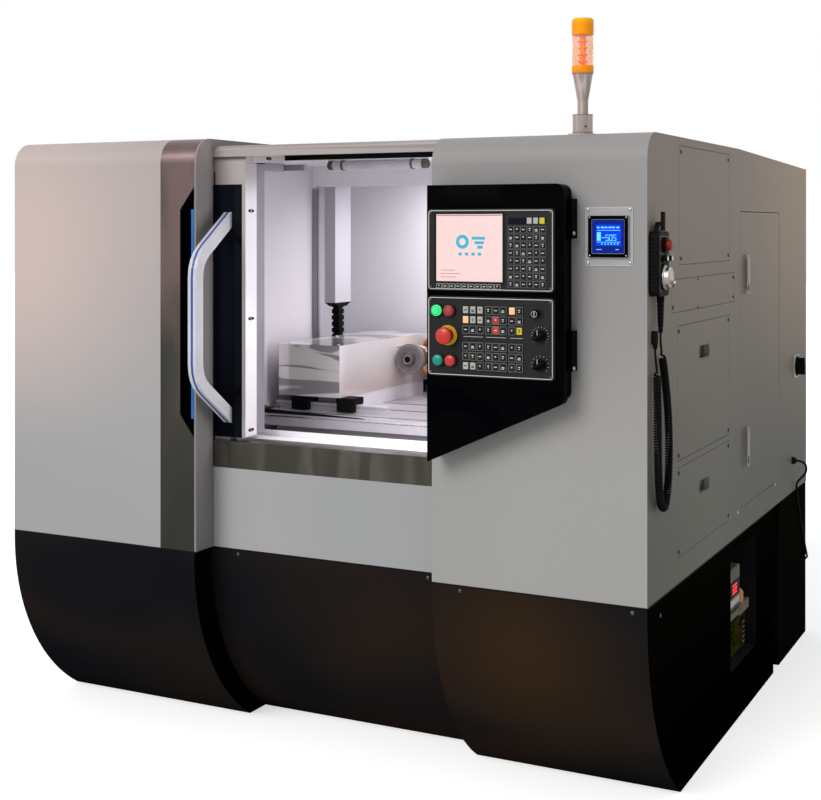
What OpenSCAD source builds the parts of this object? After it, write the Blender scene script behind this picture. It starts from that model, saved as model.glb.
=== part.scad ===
// CNC cylindrical grinder: full enclosure with a sliding door, a grinding
// chamber, a control panel and a hand-held pulse generator.
// X runs left to right, Y from front to back, Z up. The origin is on the
// floor, at the middle of the machine's footprint.

/* [Machine] */
// Overall width of the enclosure
machine_w = 1860; // [1800:10:2000]
// Overall depth of the enclosure
machine_d = 1800; // [1760:10:1900]
// Height of the centre and right roof above the floor
machine_h = 1590; // [1570:5:1650]
// Height of the black base
base_h = 510; // [490:5:530]
// Width of the left section, with its steel band
left_w = 620; // [610:5:640]
// Width of the right section
right_w = 540; // [530:5:560]
// How far the middle lies behind the left and right fronts
recess = 80; // [75:1:90]
// How much taller the left section stands
left_rise = 19; // [8:1:25]
// How far the rear roof falls towards the back
rear_fall = 24; // [0:1:30]
// Thickness of the enclosure's walls
wall = 4; // [3:0.5:5]
// Radius of the front edges of the roof
roof_r = 65; // [50:1:75]

/* [Base] */
// Radius of the base's curved front
toe_r = 580; // [560:5:640]
// Straight height above the curve
toe_start = 20; // [10:1:40]
// Depth of the main base
base_d = 1295; // [1260:5:1320]
// Gap between the main base and the rear box
rear_gap = 84; // [70:1:100]
// Clearance round the lubricator's recess
lube_gap = 14; // [8:1:20]

/* [Door] */
// Width of the sliding door
door_w = 710; // [705:1:712]
// Thickness of the door
door_t = 55; // [50:1:60]
// How far the open door stands out of the left section
door_out = 100; // [90:1:110]
// Running gap between the door and its surroundings
door_gap = 12; // [10:1:14]
// Height of the grey strip above the glass
door_top_h = 86; // [70:1:100]
// Depth of the door's top hood
hood_d = 200; // [180:1:220]
// Width of the glass frame at the door's right edge
stile_w = 10; // [8:1:16]
// Height of the handle between its feet
handle_h = 533; // [480:1:560]
// How far the handle stands out from the glass
handle_out = 166; // [140:1:175]
// Width of the handle's bar
handle_w = 25; // [20:1:30]
// Thickness of the handle's bar
handle_t = 33; // [26:1:36]

/* [Steel band] */
// Width of the polished band on the left section
band_w = 110; // [100:1:130]
// Depth of the notch in the band
notch_d = 46; // [36:1:56]
// Height of the notch at the band's edge
notch_h = 670; // [600:1:700]
// Height of the chamfers of the notch
notch_c = 62; // [50:1:80]
// Middle of the notch above the floor
notch_z = 1145; // [1130:1:1160]

/* [Chamber] */
// Top of the sill above the floor
sill_z = 797; // [780:1:805]
// Height of the sill's front
sill_h = 72; // [60:1:90]
// Depth of the sill's ledge
sill_d = 135; // [120:1:150]
// Depth of the chamber's back wall behind the front
chamber_d = 1150; // [1130:5:1200]
// Depth at which the chamber's left wall steps out
step_d = 735; // [700:5:760]
// How far the left wall lies behind the section's edge
wall_in = 70; // [60:1:90]
// How far the chamber steps out behind that wall
wall_step = 130; // [100:5:160]
// Height of the white band under the chamber's roof
soffit_h = 66; // [50:1:80]
// Thickness of the chamber's liner
liner_t = 3; // [2:0.5:4]
// Length of the chamber lamp
lamp_l = 315; // [300:5:380]
// Diameter of the chamber lamp
lamp_dia = 27; // [24:1:32]
// Width of the vertical cable duct
duct_w = 38; // [34:1:44]
// Depth of the vertical cable duct
duct_d = 100; // [90:1:110]
// Length of the vertical cable duct
duct_l = 365; // [330:5:400]

/* [Table and heads] */
// Top of the table above the floor
table_z = 835; // [830:1:845]
// Thickness of the table
table_t = 36; // [30:1:40]
// Front edge of the table behind the machine's front
table_front = 385; // [375:1:395]
// Depth of the table
table_d = 725; // [700:5:740]
// Height of the guideway carriages
carriage_h = 44; // [40:1:50]
// Width of the wheelhead cover
head_w = 205; // [190:1:215]
// Depth of the wheelhead cover
head_d = 620; // [600:5:640]
// Height of the wheelhead cover
head_h = 150; // [140:1:160]
// Height of both spindles above the table
spindle_up = 130; // [126:1:134]
// Distance of the grinding wheel behind the machine's front
spindle_back = 811; // [800:1:820]
// Diameter of the grinding wheel
wheel_dia = 93; // [80:1:100]
// Thickness of the grinding wheel
wheel_t = 16; // [10:1:20]
// Diameter of the wheel spindle's journal
journal_dia = 34; // [30:1:38]
// Diameter of the chuck
chuck_dia = 146; // [130:1:148]
// Length of the chuck's body
chuck_l = 56; // [50:1:60]
// Diameter of the work spindle
work_spindle_dia = 50; // [40:1:60]
// Radial clearance of the running fits
run_fit = 0.05; // [0.03:0.01:0.08]

/* [Control panel] */
// Width of the control box
panel_w = 346; // [344:1:380]
// How far the control box stands out
panel_out = 66; // [60:1:80]
// Top of the control box above the floor
panel_top = 1471; // [1460:1:1500]
// Length of the control box's right edge
panel_right_h = 508; // [480:1:520]
// Length of the control box's left edge
panel_left_h = 658; // [640:1:680]
// Radius of the control box's corners
panel_r = 20; // [12:1:28]
// Width of the display and the operator's panel
unit_w = 320; // [316:1:330]
// Height of the display unit
display_h = 192; // [188:1:200]
// Height of the operator's panel
operator_h = 188; // [184:1:196]
// Gap between the two units
unit_gap = 13; // [8:1:20]
// Thickness of the two units
unit_t = 8; // [6:1:10]
// Width of the screen
screen_w = 170; // [150:1:176]
// Height of the screen
screen_h = 158; // [140:1:162]
// Height of the key caps
key_h = 2; // [1:0.5:3]
// Distance from key to key
key_pitch = 17.6; // [17:0.1:18]
// Diameter of the push buttons
button_dia = 26; // [22:1:28]
// Travel of the push buttons
button_travel = 4; // [3:0.5:6]
// Diameter of the emergency stop's head
estop_dia = 40; // [36:1:44]
// Diameter of the selector knobs
knob_dia = 26; // [22:1:28]
// Clearance of the button and knob stems
stem_gap = 0.4; // [0.35:0.05:0.6]

/* [Fittings] */
// Diameter of the signal lamp's lens
lens_dia = 52; // [46:1:60]
// Height of the signal lamp's lens
lens_h = 131; // [110:1:150]
// Height of the signal lamp's stand
stand_h = 148; // [130:1:170]
// Width of the panel meter's frame
meter_w = 96; // [90:1:100]
// Thickness of the side covers
cover_t = 3; // [2:0.5:4]
// Gap round each cover and door in the side wall
cover_gap = 2; // [1.5:0.5:3]
// Thickness of the side walls at their covers
side_t = 14; // [12:1:18]
// Width of the pendant
pendant_w = 79; // [70:1:86]
// Thickness of the pendant
pendant_t = 24; // [20:1:30]
// Height of the pendant
pendant_h = 148; // [140:1:160]
// Diameter of the pendant's hand dial
dial_dia = 56; // [50:1:60]
// Outer diameter of the pendant's curly cord
curl_dia = 20; // [16:1:24]
// Diameter of the supply cable
cable_dia = 13; // [11:1:16]

/* [Hidden] */
$fn = 64;

grey = [0.66, 0.66, 0.65];
dark_grey = [0.44, 0.43, 0.43];
base_black = [0.09, 0.10, 0.12];
gloss_black = [0.03, 0.03, 0.04];
chamber_white = [0.90, 0.89, 0.90];
steel = [0.62, 0.60, 0.56];
bright = [0.80, 0.80, 0.82];
eps = 0.5; // overrun of a cut past a face

// Faces of the enclosure
x_left = -machine_w / 2;
x_right = machine_w / 2;
y_front = -machine_d / 2;
y_back = machine_d / 2;
x_hoop = x_left + left_w; // right end of the left section
x_jamb = x_right - right_w; // left end of the right section
y_mid = y_front + recess; // plane of the apron, sill and header
left_top = machine_h + left_rise;
front_d = 855; // depth of the front housings
y_split = y_front + front_d;

// Door, open and parked behind the left section
door_x1 = x_hoop + door_out;
door_x0 = door_x1 - door_w;
door_y0 = y_mid + door_gap;
door_y1 = door_y0 + door_t;
door_z0 = sill_z + 9;
door_z1 = machine_h - 18;
door_travel = x_jamb - door_x1 - 2;
door_skin = 3;
glass_t = 8;

// Chamber
wall_x = x_hoop - wall_in;
back_x = wall_x - wall_step;
chamber_x1 = x_jamb + 30;
roof_in = machine_h - 28;
pan_z = 757;
chamber_y1 = y_front + chamber_d;

// Heads
table_y0 = y_front + table_front;
table_x0 = wall_x + 8;
table_x1 = x_jamb + 20;
head_x0 = wall_x + 52;
head_x1 = head_x0 + head_w;
head_y0 = y_front + 450;
spindle_x = head_x1 + 53; // axis of the grinding wheel
spindle_y = y_front + spindle_back; // back of the grinding wheel
spindle_z = table_z + spindle_up;
work_x = head_x1 + 103; // axis of the chuck
work_y = spindle_y + 172; // front of the workhead
rail_x1 = [head_x1 + 140, head_x1 + 28]; // right ends of the two guideways
carriage_w = 54;
carriage_d = 60;
rail_w = 22;
rail_h = 24;
rail_y = [head_y0 + carriage_d / 2 + 2, head_y0 + head_d - carriage_d / 2 - 2];

// Control panel
panel_x0 = x_jamb + 19;
panel_x1 = panel_x0 + panel_w;
panel_y = y_front - panel_out;
unit_x0 = panel_x0 + 6;
unit_y = panel_y - unit_t;
display_z1 = panel_top - 57;
display_z0 = display_z1 - display_h;
operator_z1 = display_z0 - unit_gap;
operator_z0 = operator_z1 - operator_h;
key_size = key_pitch * 0.78;

// Side fittings, as distances behind the front
side_x = x_right;
pendant_y0 = y_front + 10;
pendant_z0 = 1214;
pendant_mid = pendant_y0 + pendant_w / 2;

// A box between two corners
module block(x0, x1, y0, y1, z0, z1) {
  translate([x0, y0, z0]) cube([x1 - x0, y1 - y0, z1 - z0]);
}

// Extrudes a profile drawn as (y, z) from x0 to x1
module along_x(x0, x1) {
  translate([x0, 0, 0]) rotate([90, 0, 90]) linear_extrude(x1 - x0) children();
}

// Extrudes a profile drawn as (x, z) from y0 back to y1
module along_y(y0, y1) {
  translate([0, y1, 0]) rotate([90, 0, 0]) linear_extrude(y1 - y0) children();
}

// A rectangle with one height and exact round corners
module round_rect(w, h, r) {
  translate([r, 0]) square([w - 2 * r, h]);
  translate([0, r]) square([w, h - 2 * r]);
  for (x = [r, w - r], y = [r, h - r]) translate([x, y]) circle(r);
}

// Side view of the curved base between its front and its back
module base_profile(front, back) {
  difference() {
    translate([front, 0]) square([back - front, base_h]);
    translate([front - eps, -eps]) difference() {
      square([toe_r + eps, base_h - toe_start + eps]);
      translate([toe_r + eps, base_h - toe_start + eps]) circle(toe_r, $fn = 128);
    }
  }
}

// Side view of a housing with a rounded front edge on its roof
module housing_profile(front, back, z0, z1, r) {
  difference() {
    translate([front, z0]) square([back - front, z1 - z0]);
    translate([front - eps, z1 - r]) difference() {
      square([r + eps, r + eps]);
      translate([r + eps, 0]) circle(r);
    }
  }
}

// The wall of such a housing, open at the back and the bottom
module housing_wall(front, back, z0, z1, r, t) {
  difference() {
    housing_profile(front, back, z0, z1, r);
    housing_profile(front + t, back + eps, z0 - eps, z1 - t, r - t);
  }
}

module bed() color(dark_grey) {
  block(wall_x + 30, x_jamb - 10, table_y0 + 60, chamber_y1 - 40, base_h, pan_z - 8);
  block(table_x0 + 60, x_jamb - 40, table_y0 + 30, table_y0 + table_d - 30,
    pan_z - 8, table_z - table_t);
}

module base_left() color(base_black)
  along_x(x_left, x_hoop) base_profile(y_front, y_front + base_d);

module base_center() color(base_black)
  along_x(x_hoop, x_jamb) base_profile(y_mid, y_front + base_d);

// The recess for the lubricator opens to the right side
lube_y0 = y_front + 762;
lube_y1 = lube_y0 + 300;
lube_z0 = 150;
lube_z1 = 478;
lube_depth = 190;

module base_right() color(base_black) difference() {
  along_x(x_jamb, x_right) base_profile(y_front, y_front + base_d);
  block(x_right - lube_depth, x_right + eps, lube_y0, lube_y1, lube_z0, lube_z1);
}

module base_rear() color(base_black) {
  y0 = y_front + base_d;
  block(x_left + 60, x_right - 60, y0, y0 + rear_gap, 0, base_h);
  block(x_left, x_right - 2, y0 + rear_gap, y_back, 0, base_h);
}

// Left section: front, roof and left side, folded in one shell
module left_housing() color(grey) {
  along_x(x_left, x_hoop - band_w)
    housing_wall(y_front, y_split, base_h, left_top, roof_r, wall);
  along_x(x_left, x_left + wall)
    housing_profile(y_front, y_split, base_h, left_top, roof_r);
  back_lip(x_left + wall, x_hoop - band_w);
}

// Lip that closes the step between the taller section and the rear roof
module back_lip(x0, x1) block(x0, x1, y_split - wall, y_split, machine_h - wall, left_top - 1);

// Polished band with a notch that shows the glass of the parked door
module steel_band() color(steel) difference() {
  union() {
    along_x(x_hoop - band_w, x_hoop)
      housing_wall(y_front, y_split, base_h, left_top, roof_r, wall);
    back_lip(x_hoop - band_w, x_hoop);
  }
  along_y(y_front - eps, y_front + roof_r) polygon([
    [x_hoop + eps, notch_z - notch_h / 2],
    [x_hoop - notch_d, notch_z - notch_h / 2 + notch_c],
    [x_hoop - notch_d, notch_z + notch_h / 2 - notch_c],
    [x_hoop + eps, notch_z + notch_h / 2]]);
}

hoop_t = 6;
hoop_arm = 240; // length of the hoop's arm over the door
hoop_under = 30; // thickness of that arm

// Flange that closes the section's right end and bridges the door
module door_hoop() color(dark_grey) {
  arm_back = door_y0 + hood_d + 4;
  block(x_hoop, x_hoop + hoop_t, y_front + hoop_arm - 1, arm_back, left_top - hoop_under, left_top);
  block(x_hoop, x_hoop + hoop_t, arm_back - 1, y_split, roof_in, left_top);
  along_x(x_hoop, x_hoop + hoop_t) hoop_outline();
}

module hoop_outline() difference() {
  housing_profile(y_front, y_front + hoop_arm, base_h, left_top, roof_r);
  difference() {
    translate([y_mid - 2, base_h - eps]) square([hoop_arm, left_top - hoop_under - base_h + eps]);
    translate([y_mid - 2, left_top - hoop_under - 30]) difference() {
      square([30, 30]);
      translate([30, 0]) circle(30);
    }
  }
}

header_h = 30;

// Front rail of the roof, the roof behind it, and the ribs that hold the liner
module header_rail() color(grey) along_x(x_hoop + hoop_t, x_jamb) {
  difference() {
    housing_profile(y_mid, y_split, machine_h - header_h, machine_h, 12);
    translate([y_mid + wall, machine_h - header_h - eps])
      square([front_d, header_h - wall + eps]);
  }
  for (y = [liner_y0 + 6, y_split - 30])
    translate([y, roof_in]) square([3, machine_h - wall - roof_in + eps]);
}

// Openings of the right side wall: y from, y to, z from, z to
upper_open = [257, 750, 1279, 1570];
middle_open = [190, 805, 1165, 1247];
slot_open_a = [240, 750, 805, 1133];
slot_open_b = [240, 750, 572, 790];
cabinet_open = [872, 1379, 580, 1416];

module side_pocket(o, depth) {
  block(x_right - depth, x_right + eps, y_front + o[0], y_front + o[1], o[2], o[3]);
}

module right_housing() color(grey) difference() {
  union() {
    along_x(x_jamb, x_right)
      housing_wall(y_front, y_split, base_h, machine_h, roof_r, wall);
    along_x(x_right - side_t, x_right)
      housing_profile(y_front, y_split, base_h, machine_h, roof_r);
    along_x(x_jamb, x_jamb + wall)
      housing_profile(y_front, y_front + 300, base_h, machine_h, roof_r);
    pendant_hook();
  }
  for (o = [upper_open, middle_open, slot_open_a, slot_open_b]) side_pocket(o, cover_t);
  for (o = [slot_open_a, slot_open_b]) finger_slot(o);
}

// Rear half of the enclosure with the electrical cabinet
module rear_profile(front, back, z0, top) polygon([[front, z0], [back, z0],
  [back, top - rear_fall], [front, top]]);

module rear_housing() color(grey) difference() {
  along_x(x_left, x_right) rear_profile(y_split, y_back, base_h, machine_h);
  along_x(x_left + wall, x_right - side_t)
    rear_profile(y_split - eps, y_back - wall, base_h - eps, machine_h - wall);
  side_pocket(cabinet_open, side_t + eps);
  translate([hinge_x, hinge_y, cabinet_open[2] - pin_l])
    cylinder(h = cabinet_open[3] - cabinet_open[2] + 2 * pin_l, d = pin_dia + 2 * run_fit);
  for (i = [0:7])
    block(-560 + i * 20, -552 + i * 20, y_back - wall - eps, y_back + eps, 760, 900);
}

module apron() color(grey)
  block(x_hoop + hoop_t, x_jamb, y_mid, y_mid + wall, base_h, sill_z - sill_h);

// Stainless sill: a folded front and the ledge under the door
module sill() color(steel) {
  block(x_hoop + hoop_t, x_jamb, y_mid, y_mid + wall, sill_z - sill_h, sill_z);
  block(x_left + wall, x_jamb, y_mid + wall, y_mid + sill_d, sill_z - wall, sill_z);
}

liner_y0 = y_mid + hood_d + 30;
step_y = y_front + step_d;

// White inner shell: stepped left wall, back, right wall, pan and soffit
module chamber_liner() color(chamber_white) difference() {
  union() {
    block(wall_x - liner_t, wall_x, liner_y0, step_y, pan_z - liner_t, roof_in);
    block(back_x, wall_x, step_y - liner_t, step_y, pan_z - liner_t, roof_in);
    block(back_x - liner_t, back_x, step_y - liner_t, chamber_y1, pan_z - liner_t, roof_in);
    block(back_x, chamber_x1, chamber_y1 - liner_t, chamber_y1, pan_z - liner_t, roof_in);
    block(chamber_x1, chamber_x1 + liner_t, liner_y0, chamber_y1, pan_z - liner_t, roof_in);
    block(back_x, chamber_x1, step_y, chamber_y1, roof_in - liner_t, roof_in);
    block(wall_x, chamber_x1, liner_y0, step_y, roof_in - liner_t, roof_in);
    block(wall_x, chamber_x1, step_y - liner_t, step_y, roof_in - soffit_h, roof_in);
    block(x_hoop + hoop_t, x_jamb, y_mid + sill_d - liner_t, liner_y0, pan_z - liner_t, pan_z);
    block(wall_x, chamber_x1, liner_y0, step_y, pan_z - liner_t, pan_z);
    block(back_x, chamber_x1, step_y - liner_t, chamber_y1, pan_z - liner_t, pan_z);
    block(x_hoop + hoop_t, x_jamb, y_mid + sill_d - liner_t, y_mid + sill_d,
      pan_z - liner_t, sill_z - wall);
  }
  block(table_x0 + 60, x_jamb - 40, table_y0 + 30, table_y0 + table_d - 30,
    pan_z - 10, pan_z + 1);
}

// Table slab with two guideways ground on its top
module table() color(bright) {
  block(table_x0, table_x1, table_y0, table_y0 + table_d, table_z - table_t, table_z);
  for (i = [0, 1]) along_x(table_x0 + 20, rail_x1[i]) translate([rail_y[i], table_z]) {
    translate([-rail_w / 2, 0]) square([rail_w, rail_h / 2]);
    polygon([[-rail_w / 2 + 4, rail_h / 2], [-rail_w / 2, rail_h],
      [rail_w / 2, rail_h], [rail_w / 2 - 4, rail_h / 2]]);
  }
}

lamp_y = liner_y0 + 50;
lamp_x = -107;
lamp_z = roof_in - liner_t - lamp_dia / 2 - 1;

module chamber_lamp() color("white") {
  translate([lamp_x, lamp_y, lamp_z]) rotate([0, 90, 0]) cylinder(h = lamp_l, d = lamp_dia);
  for (x = [lamp_x + 6, lamp_x + lamp_l - 14])
    block(x, x + 8, lamp_y - 16, lamp_y + 16, lamp_z - 16, roof_in - liner_t - 0.3);
}

duct_x0 = wall_x + 5;
duct_y0 = y_front + 800;
duct_z1 = roof_in - liner_t;
duct_z0 = roof_in - soffit_h - duct_l;

module cable_duct() color(chamber_white) difference() {
  block(duct_x0, duct_x0 + duct_w, duct_y0, duct_y0 + duct_d, duct_z0, duct_z1);
  block(duct_x0 + 2, duct_x0 + duct_w - 2, duct_y0 + 2, duct_y0 + duct_d - 2,
    duct_z0 - eps, duct_z1 - 3);
}

link_pitch = 20;
chain_w = 26;
chain_d = 34;
chain_n = floor((duct_z0 + 60 - table_z) / link_pitch);

// Drag chain: forked links that overlap, hanging straight from the duct
module drag_chain() color(base_black)
  for (i = [0:chain_n - 1]) {
    x = duct_x0 + duct_w / 2;
    y = duct_y0 + duct_d / 2;
    z = table_z + i * link_pitch;
    difference() {
      union() {
        block(x - chain_w / 2, x + chain_w / 2, y - chain_d / 2, y + chain_d / 2, z, z + 14);
        block(x - chain_w / 2 + 3, x + chain_w / 2 - 3, y - chain_d / 2 + 4,
          y + chain_d / 2 - 4, z + 14, z + link_pitch);
      }
      block(x - 7, x + 7, y - 10, y + 10, z - eps, z + link_pitch + eps);
    }
  }

// Carriage that straddles a guideway with a small clearance
module carriage(x, y) {
  c = 0.4;
  along_x(x - carriage_w / 2, x + carriage_w / 2) translate([y, table_z]) difference() {
    translate([-carriage_d / 2, 4]) square([carriage_d, carriage_h - 4]);
    translate([-rail_w / 2 - c, 4 - eps]) square([rail_w + 2 * c, rail_h - 4 + eps + c]);
  }
}

carriage_x = [[head_x0 + 70, head_x1 + 16], [head_x0 + 70, head_x1 - 30]];

module head_carriages() color(base_black)
  for (i = [0, 1], x = carriage_x[i]) carriage(x, rail_y[i]);

// Cast saddle between the carriages
module head_saddle() color("white")
  block(head_x0 + 24, head_x1 - 2, rail_y[0] + carriage_d / 2 + 8,
    rail_y[1] - carriage_d / 2 - 8, table_z + 0.4, table_z + carriage_h);

journal_l = 50;
bearing_r = 36;
bearing_l = journal_l + 10;

// Polished cover of the wheelhead, with the bearing block of its spindle
module head_cover() color(bright) difference() {
  union() {
    block(head_x0, head_x1, head_y0, head_y0 + head_d,
      table_z + carriage_h, table_z + carriage_h + head_h);
    along_y(spindle_y + 1, spindle_y + 1 + bearing_l) {
      translate([spindle_x, spindle_z]) circle(bearing_r);
      translate([head_x1 - 1, spindle_z - bearing_r])
        square([spindle_x - head_x1 + 1, 2 * bearing_r]);
    }
  }
  translate([spindle_x, spindle_y + 1 - eps, spindle_z]) rotate([-90, 0, 0])
    cylinder(h = journal_l + 2 + eps, d = journal_dia + 2 * run_fit);
}

flange_t = 6;
arbor_dia = 20;
nut_r = 22;

// Spindle with its flange, arbor and clamping nut with a hexagon socket
module wheel_spindle() color(bright)
  translate([spindle_x, spindle_y, spindle_z]) rotate([90, 0, 0]) difference() {
    rotate_extrude() polygon([[0, -journal_l], [journal_dia / 2, -journal_l],
      [journal_dia / 2, 0], [30, 0], [30, flange_t], [arbor_dia / 2, flange_t],
      [arbor_dia / 2, flange_t + wheel_t], [nut_r, flange_t + wheel_t],
      [nut_r, 8 + flange_t + wheel_t], [nut_r - 3, 11 + flange_t + wheel_t],
      [0, 11 + flange_t + wheel_t]]);
    translate([0, 0, 4 + flange_t + wheel_t]) cylinder(h = 20, d = 22, $fn = 6);
  }

module grinding_wheel() color("dimgray")
  translate([spindle_x, spindle_y - flange_t, spindle_z]) rotate([90, 0, 0])
    difference() {
      cylinder(h = wheel_t, d = wheel_dia);
      translate([0, 0, -eps]) cylinder(h = wheel_t + 2 * eps, d = arbor_dia);
    }

work_bore_l = 84;
work_l = 112;
work_r = 70;
motor_w = 120;

// Workhead: round-topped casting with a spindle bore and its motor box
module workhead() color(grey) difference() {
  along_y(work_y, work_y + work_l) {
    translate([work_x, spindle_z]) circle(work_r);
    translate([work_x - work_r, table_z]) square([2 * work_r, spindle_z - table_z]);
    translate([work_x + work_r - 1, table_z]) square([motor_w, 150]);
  }
  translate([work_x, work_y - eps, spindle_z]) rotate([-90, 0, 0])
    cylinder(h = work_bore_l + eps, d = work_spindle_dia + 2 * run_fit);
}

guard_t = 4;
guard_l = 18;

// Three-jaw chuck on its spindle, with a raised guard ring
module chuck() color("sandybrown")
  translate([work_x, work_y - 1, spindle_z]) rotate([90, 0, 0]) {
    difference() {
      rotate_extrude() polygon([[0, -work_bore_l + 4], [work_spindle_dia / 2, -work_bore_l + 4],
        [work_spindle_dia / 2, 0], [chuck_dia / 2, 0], [chuck_dia / 2, chuck_l + guard_l],
        [chuck_dia / 2 - guard_t, chuck_l + guard_l], [chuck_dia / 2 - guard_t, chuck_l],
        [0, chuck_l]]);
      translate([0, 0, chuck_l - 40]) cylinder(h = 41, d = 36);
    }
    for (a = [0:120:240]) rotate(a + 30) translate([22, -9, chuck_l - 1]) {
      cube([40, 18, 9]);
      cube([20, 18, 16]);
    }
  }

glass_z1 = door_z1 - door_top_h;

// Frame of the door: grey top with its hood, end plate, stile and bars
module door_frame() color(grey) {
  along_x(door_x0, door_x1)
    housing_wall(door_y0, door_y0 + hood_d, glass_z1, door_z1, 30, door_skin);
  along_x(door_x1 - 4, door_x1) difference() {
    housing_profile(door_y0, door_y0 + hood_d, door_z0, door_z1, 30);
    translate([door_y1, door_z0 - eps]) square([hood_d, door_z1 - 24 - door_z0 + eps]);
  }
  back = door_y0 + glass_t;
  block(door_x0, door_x0 + 40, back, door_y1, door_z0, glass_z1);
  block(door_x1 - 60, door_x1, back, door_y1, door_z0, glass_z1);
  block(door_x1 - stile_w, door_x1, door_y0, door_y1, door_z0, glass_z1);
  block(door_x0, door_x1, back, door_y1, door_z0, door_z0 + 40);
  block(door_x0, door_x1, back, door_y1, glass_z1 - 30, glass_z1 + 20);
}

module door_glass() color(gloss_black)
  block(door_x0, door_x1 - stile_w, door_y0, door_y0 + glass_t, door_z0, glass_z1);

// Points of a bend at p, from a to b, that starts r before p
function bend(p, a, b, r) = [for (i = [0:4]) let (t = i / 4)
  (1 - t) * (1 - t) * (p + r * unit(a - p)) + 2 * t * (1 - t) * p + t * t * (p + r * unit(b - p))];
// Points at a distance to the left of a path
function beside(p, d) = [for (i = [0:len(p) - 1])
  let (t = unit(p[min(i + 1, len(p) - 1)] - p[max(i - 1, 0)])) p[i] + d * [-t[1], t[0]]];
function reversed(p) = [for (i = [len(p) - 1:-1:0]) p[i]];
function unit(v) = v / norm(v);

handle_x = door_x1 - 55;
handle_z = (door_z0 + glass_z1) / 2 - 18;

// Bow handle: a straight grip between two slanting legs
module door_handle() color("white") along_x(handle_x - handle_w / 2, handle_x + handle_w / 2)
  difference() {
    grip_y = door_y0 - handle_out + handle_t / 2;
    foot = [handle_t, handle_h / 2 + 20];
    grip = [grip_y - door_y0, handle_h / 2 - 110];
    p = [[foot[0], foot[1]], grip, [grip[0], -grip[1]], [foot[0], -foot[1]]];
    path = concat([p[0]], bend(p[1], p[0], p[2], 45), bend(p[2], p[1], p[3], 45), [p[3]]);
    translate([door_y0, handle_z])
      polygon(concat(beside(path, handle_t / 2), reversed(beside(path, -handle_t / 2))));
    translate([door_y0, handle_z - handle_h]) square([100, 2 * handle_h]);
  }

// Nylon glides between the door and the sill
module door_hangers() color("white") for (x = [door_x0 + 60, door_x1 - 110])
  block(x, x + 50, door_y0 + 15, door_y1 - 10, sill_z + 0.3, door_z0);

function arc_points(c, r, a0, a1, n = 6) =
  [for (i = [0:n]) c + r * [cos(a0 + (a1 - a0) * i / n), sin(a0 + (a1 - a0) * i / n)]];

panel_slope = atan2(panel_left_h - panel_right_h, panel_w);
stem_dia = 14;
knob_stem = 8;
stem_l = 24;

// Places on the operator's panel, from its top left corner
estop_at = [54, 92];
start_at = [26, 34];
stop_at = [58, 34];
on_at = [30, 151];
off_at = [62, 151];
key_at = [276, 36];
feed_at = [286, 86];
speed_at = [286, 152];

module at_operator(p) {
  translate([unit_x0 + p[0], unit_y, operator_z1 - p[1]]) rotate([90, 0, 0]) children();
}

module stem_holes() {
  for (p = [start_at, stop_at, on_at, off_at, estop_at]) at_operator(p)
    translate([0, 0, -stem_l - 12]) cylinder(h = 60, d = stem_dia + 2 * stem_gap);
  for (p = [key_at, feed_at, speed_at]) at_operator(p)
    translate([0, 0, -stem_l - 2]) cylinder(h = 60, d = knob_stem + 2 * stem_gap);
}

// Black box of the control panel with a slanting lower edge
module control_box() color(gloss_black) difference() {
  union() {
    along_y(panel_y, panel_y + 26) polygon(concat(
      [[panel_x0, panel_top - panel_left_h], [panel_x0, panel_top]],
      arc_points([panel_x1 - panel_r, panel_top - panel_r], panel_r, 90, 0),
      arc_points([panel_x1 - panel_r, panel_top - panel_right_h + panel_r], panel_r,
        0, -90 + panel_slope)));
    along_y(panel_y + 26, y_front) polygon(concat(
      [[panel_x0, panel_top - panel_left_h + 12], [panel_x0, panel_top]],
      arc_points([panel_x1 - panel_r - 6, panel_top - panel_r], panel_r, 90, 0),
      arc_points([panel_x1 - panel_r - 6, panel_top - panel_right_h + panel_r + 8], panel_r,
        0, -90 + panel_slope)));
    for (z = [panel_top - 126, panel_top - 430])
      block(panel_x1 - 10, panel_x1 + 8, y_front - 34, y_front, z, z + 92);
  }
  stem_holes();
}

display_x = unit_x0 + 22;
screen_z1 = display_z1 - 12;

module unit_plate(h, z0) {
  translate([unit_x0, panel_y, z0]) rotate([90, 0, 0])
    linear_extrude(unit_t) round_rect(unit_w, h, 8);
}

module key(x, z, w, h) block(x - w / 2, x + w / 2, unit_y - key_h, unit_y, z - h / 2, z + h / 2);

module display_unit() color([0.16, 0.16, 0.17]) difference() {
  union() {
    unit_plate(display_h, display_z0);
    for (i = [0:9]) key(unit_x0 + 31 + i * 16.6, display_z1 - 181, 13, 10);
    for (i = [0:5], j = [0:7])
      key(unit_x0 + 214 + i * 15.8, display_z1 - 48 - j * 18, key_size, key_size + 1);
    for (i = [0:2]) key(unit_x0 + 260 + i * 15.6, display_z1 - 28, 13, 15);
  }
  block(display_x, display_x + screen_w, unit_y - eps, unit_y + 3, screen_z1 - screen_h, screen_z1);
}

module screen() color("mistyrose")
  block(display_x, display_x + screen_w, unit_y + 0.6, unit_y + 3, screen_z1 - screen_h, screen_z1);

collar_h = 6;

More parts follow.
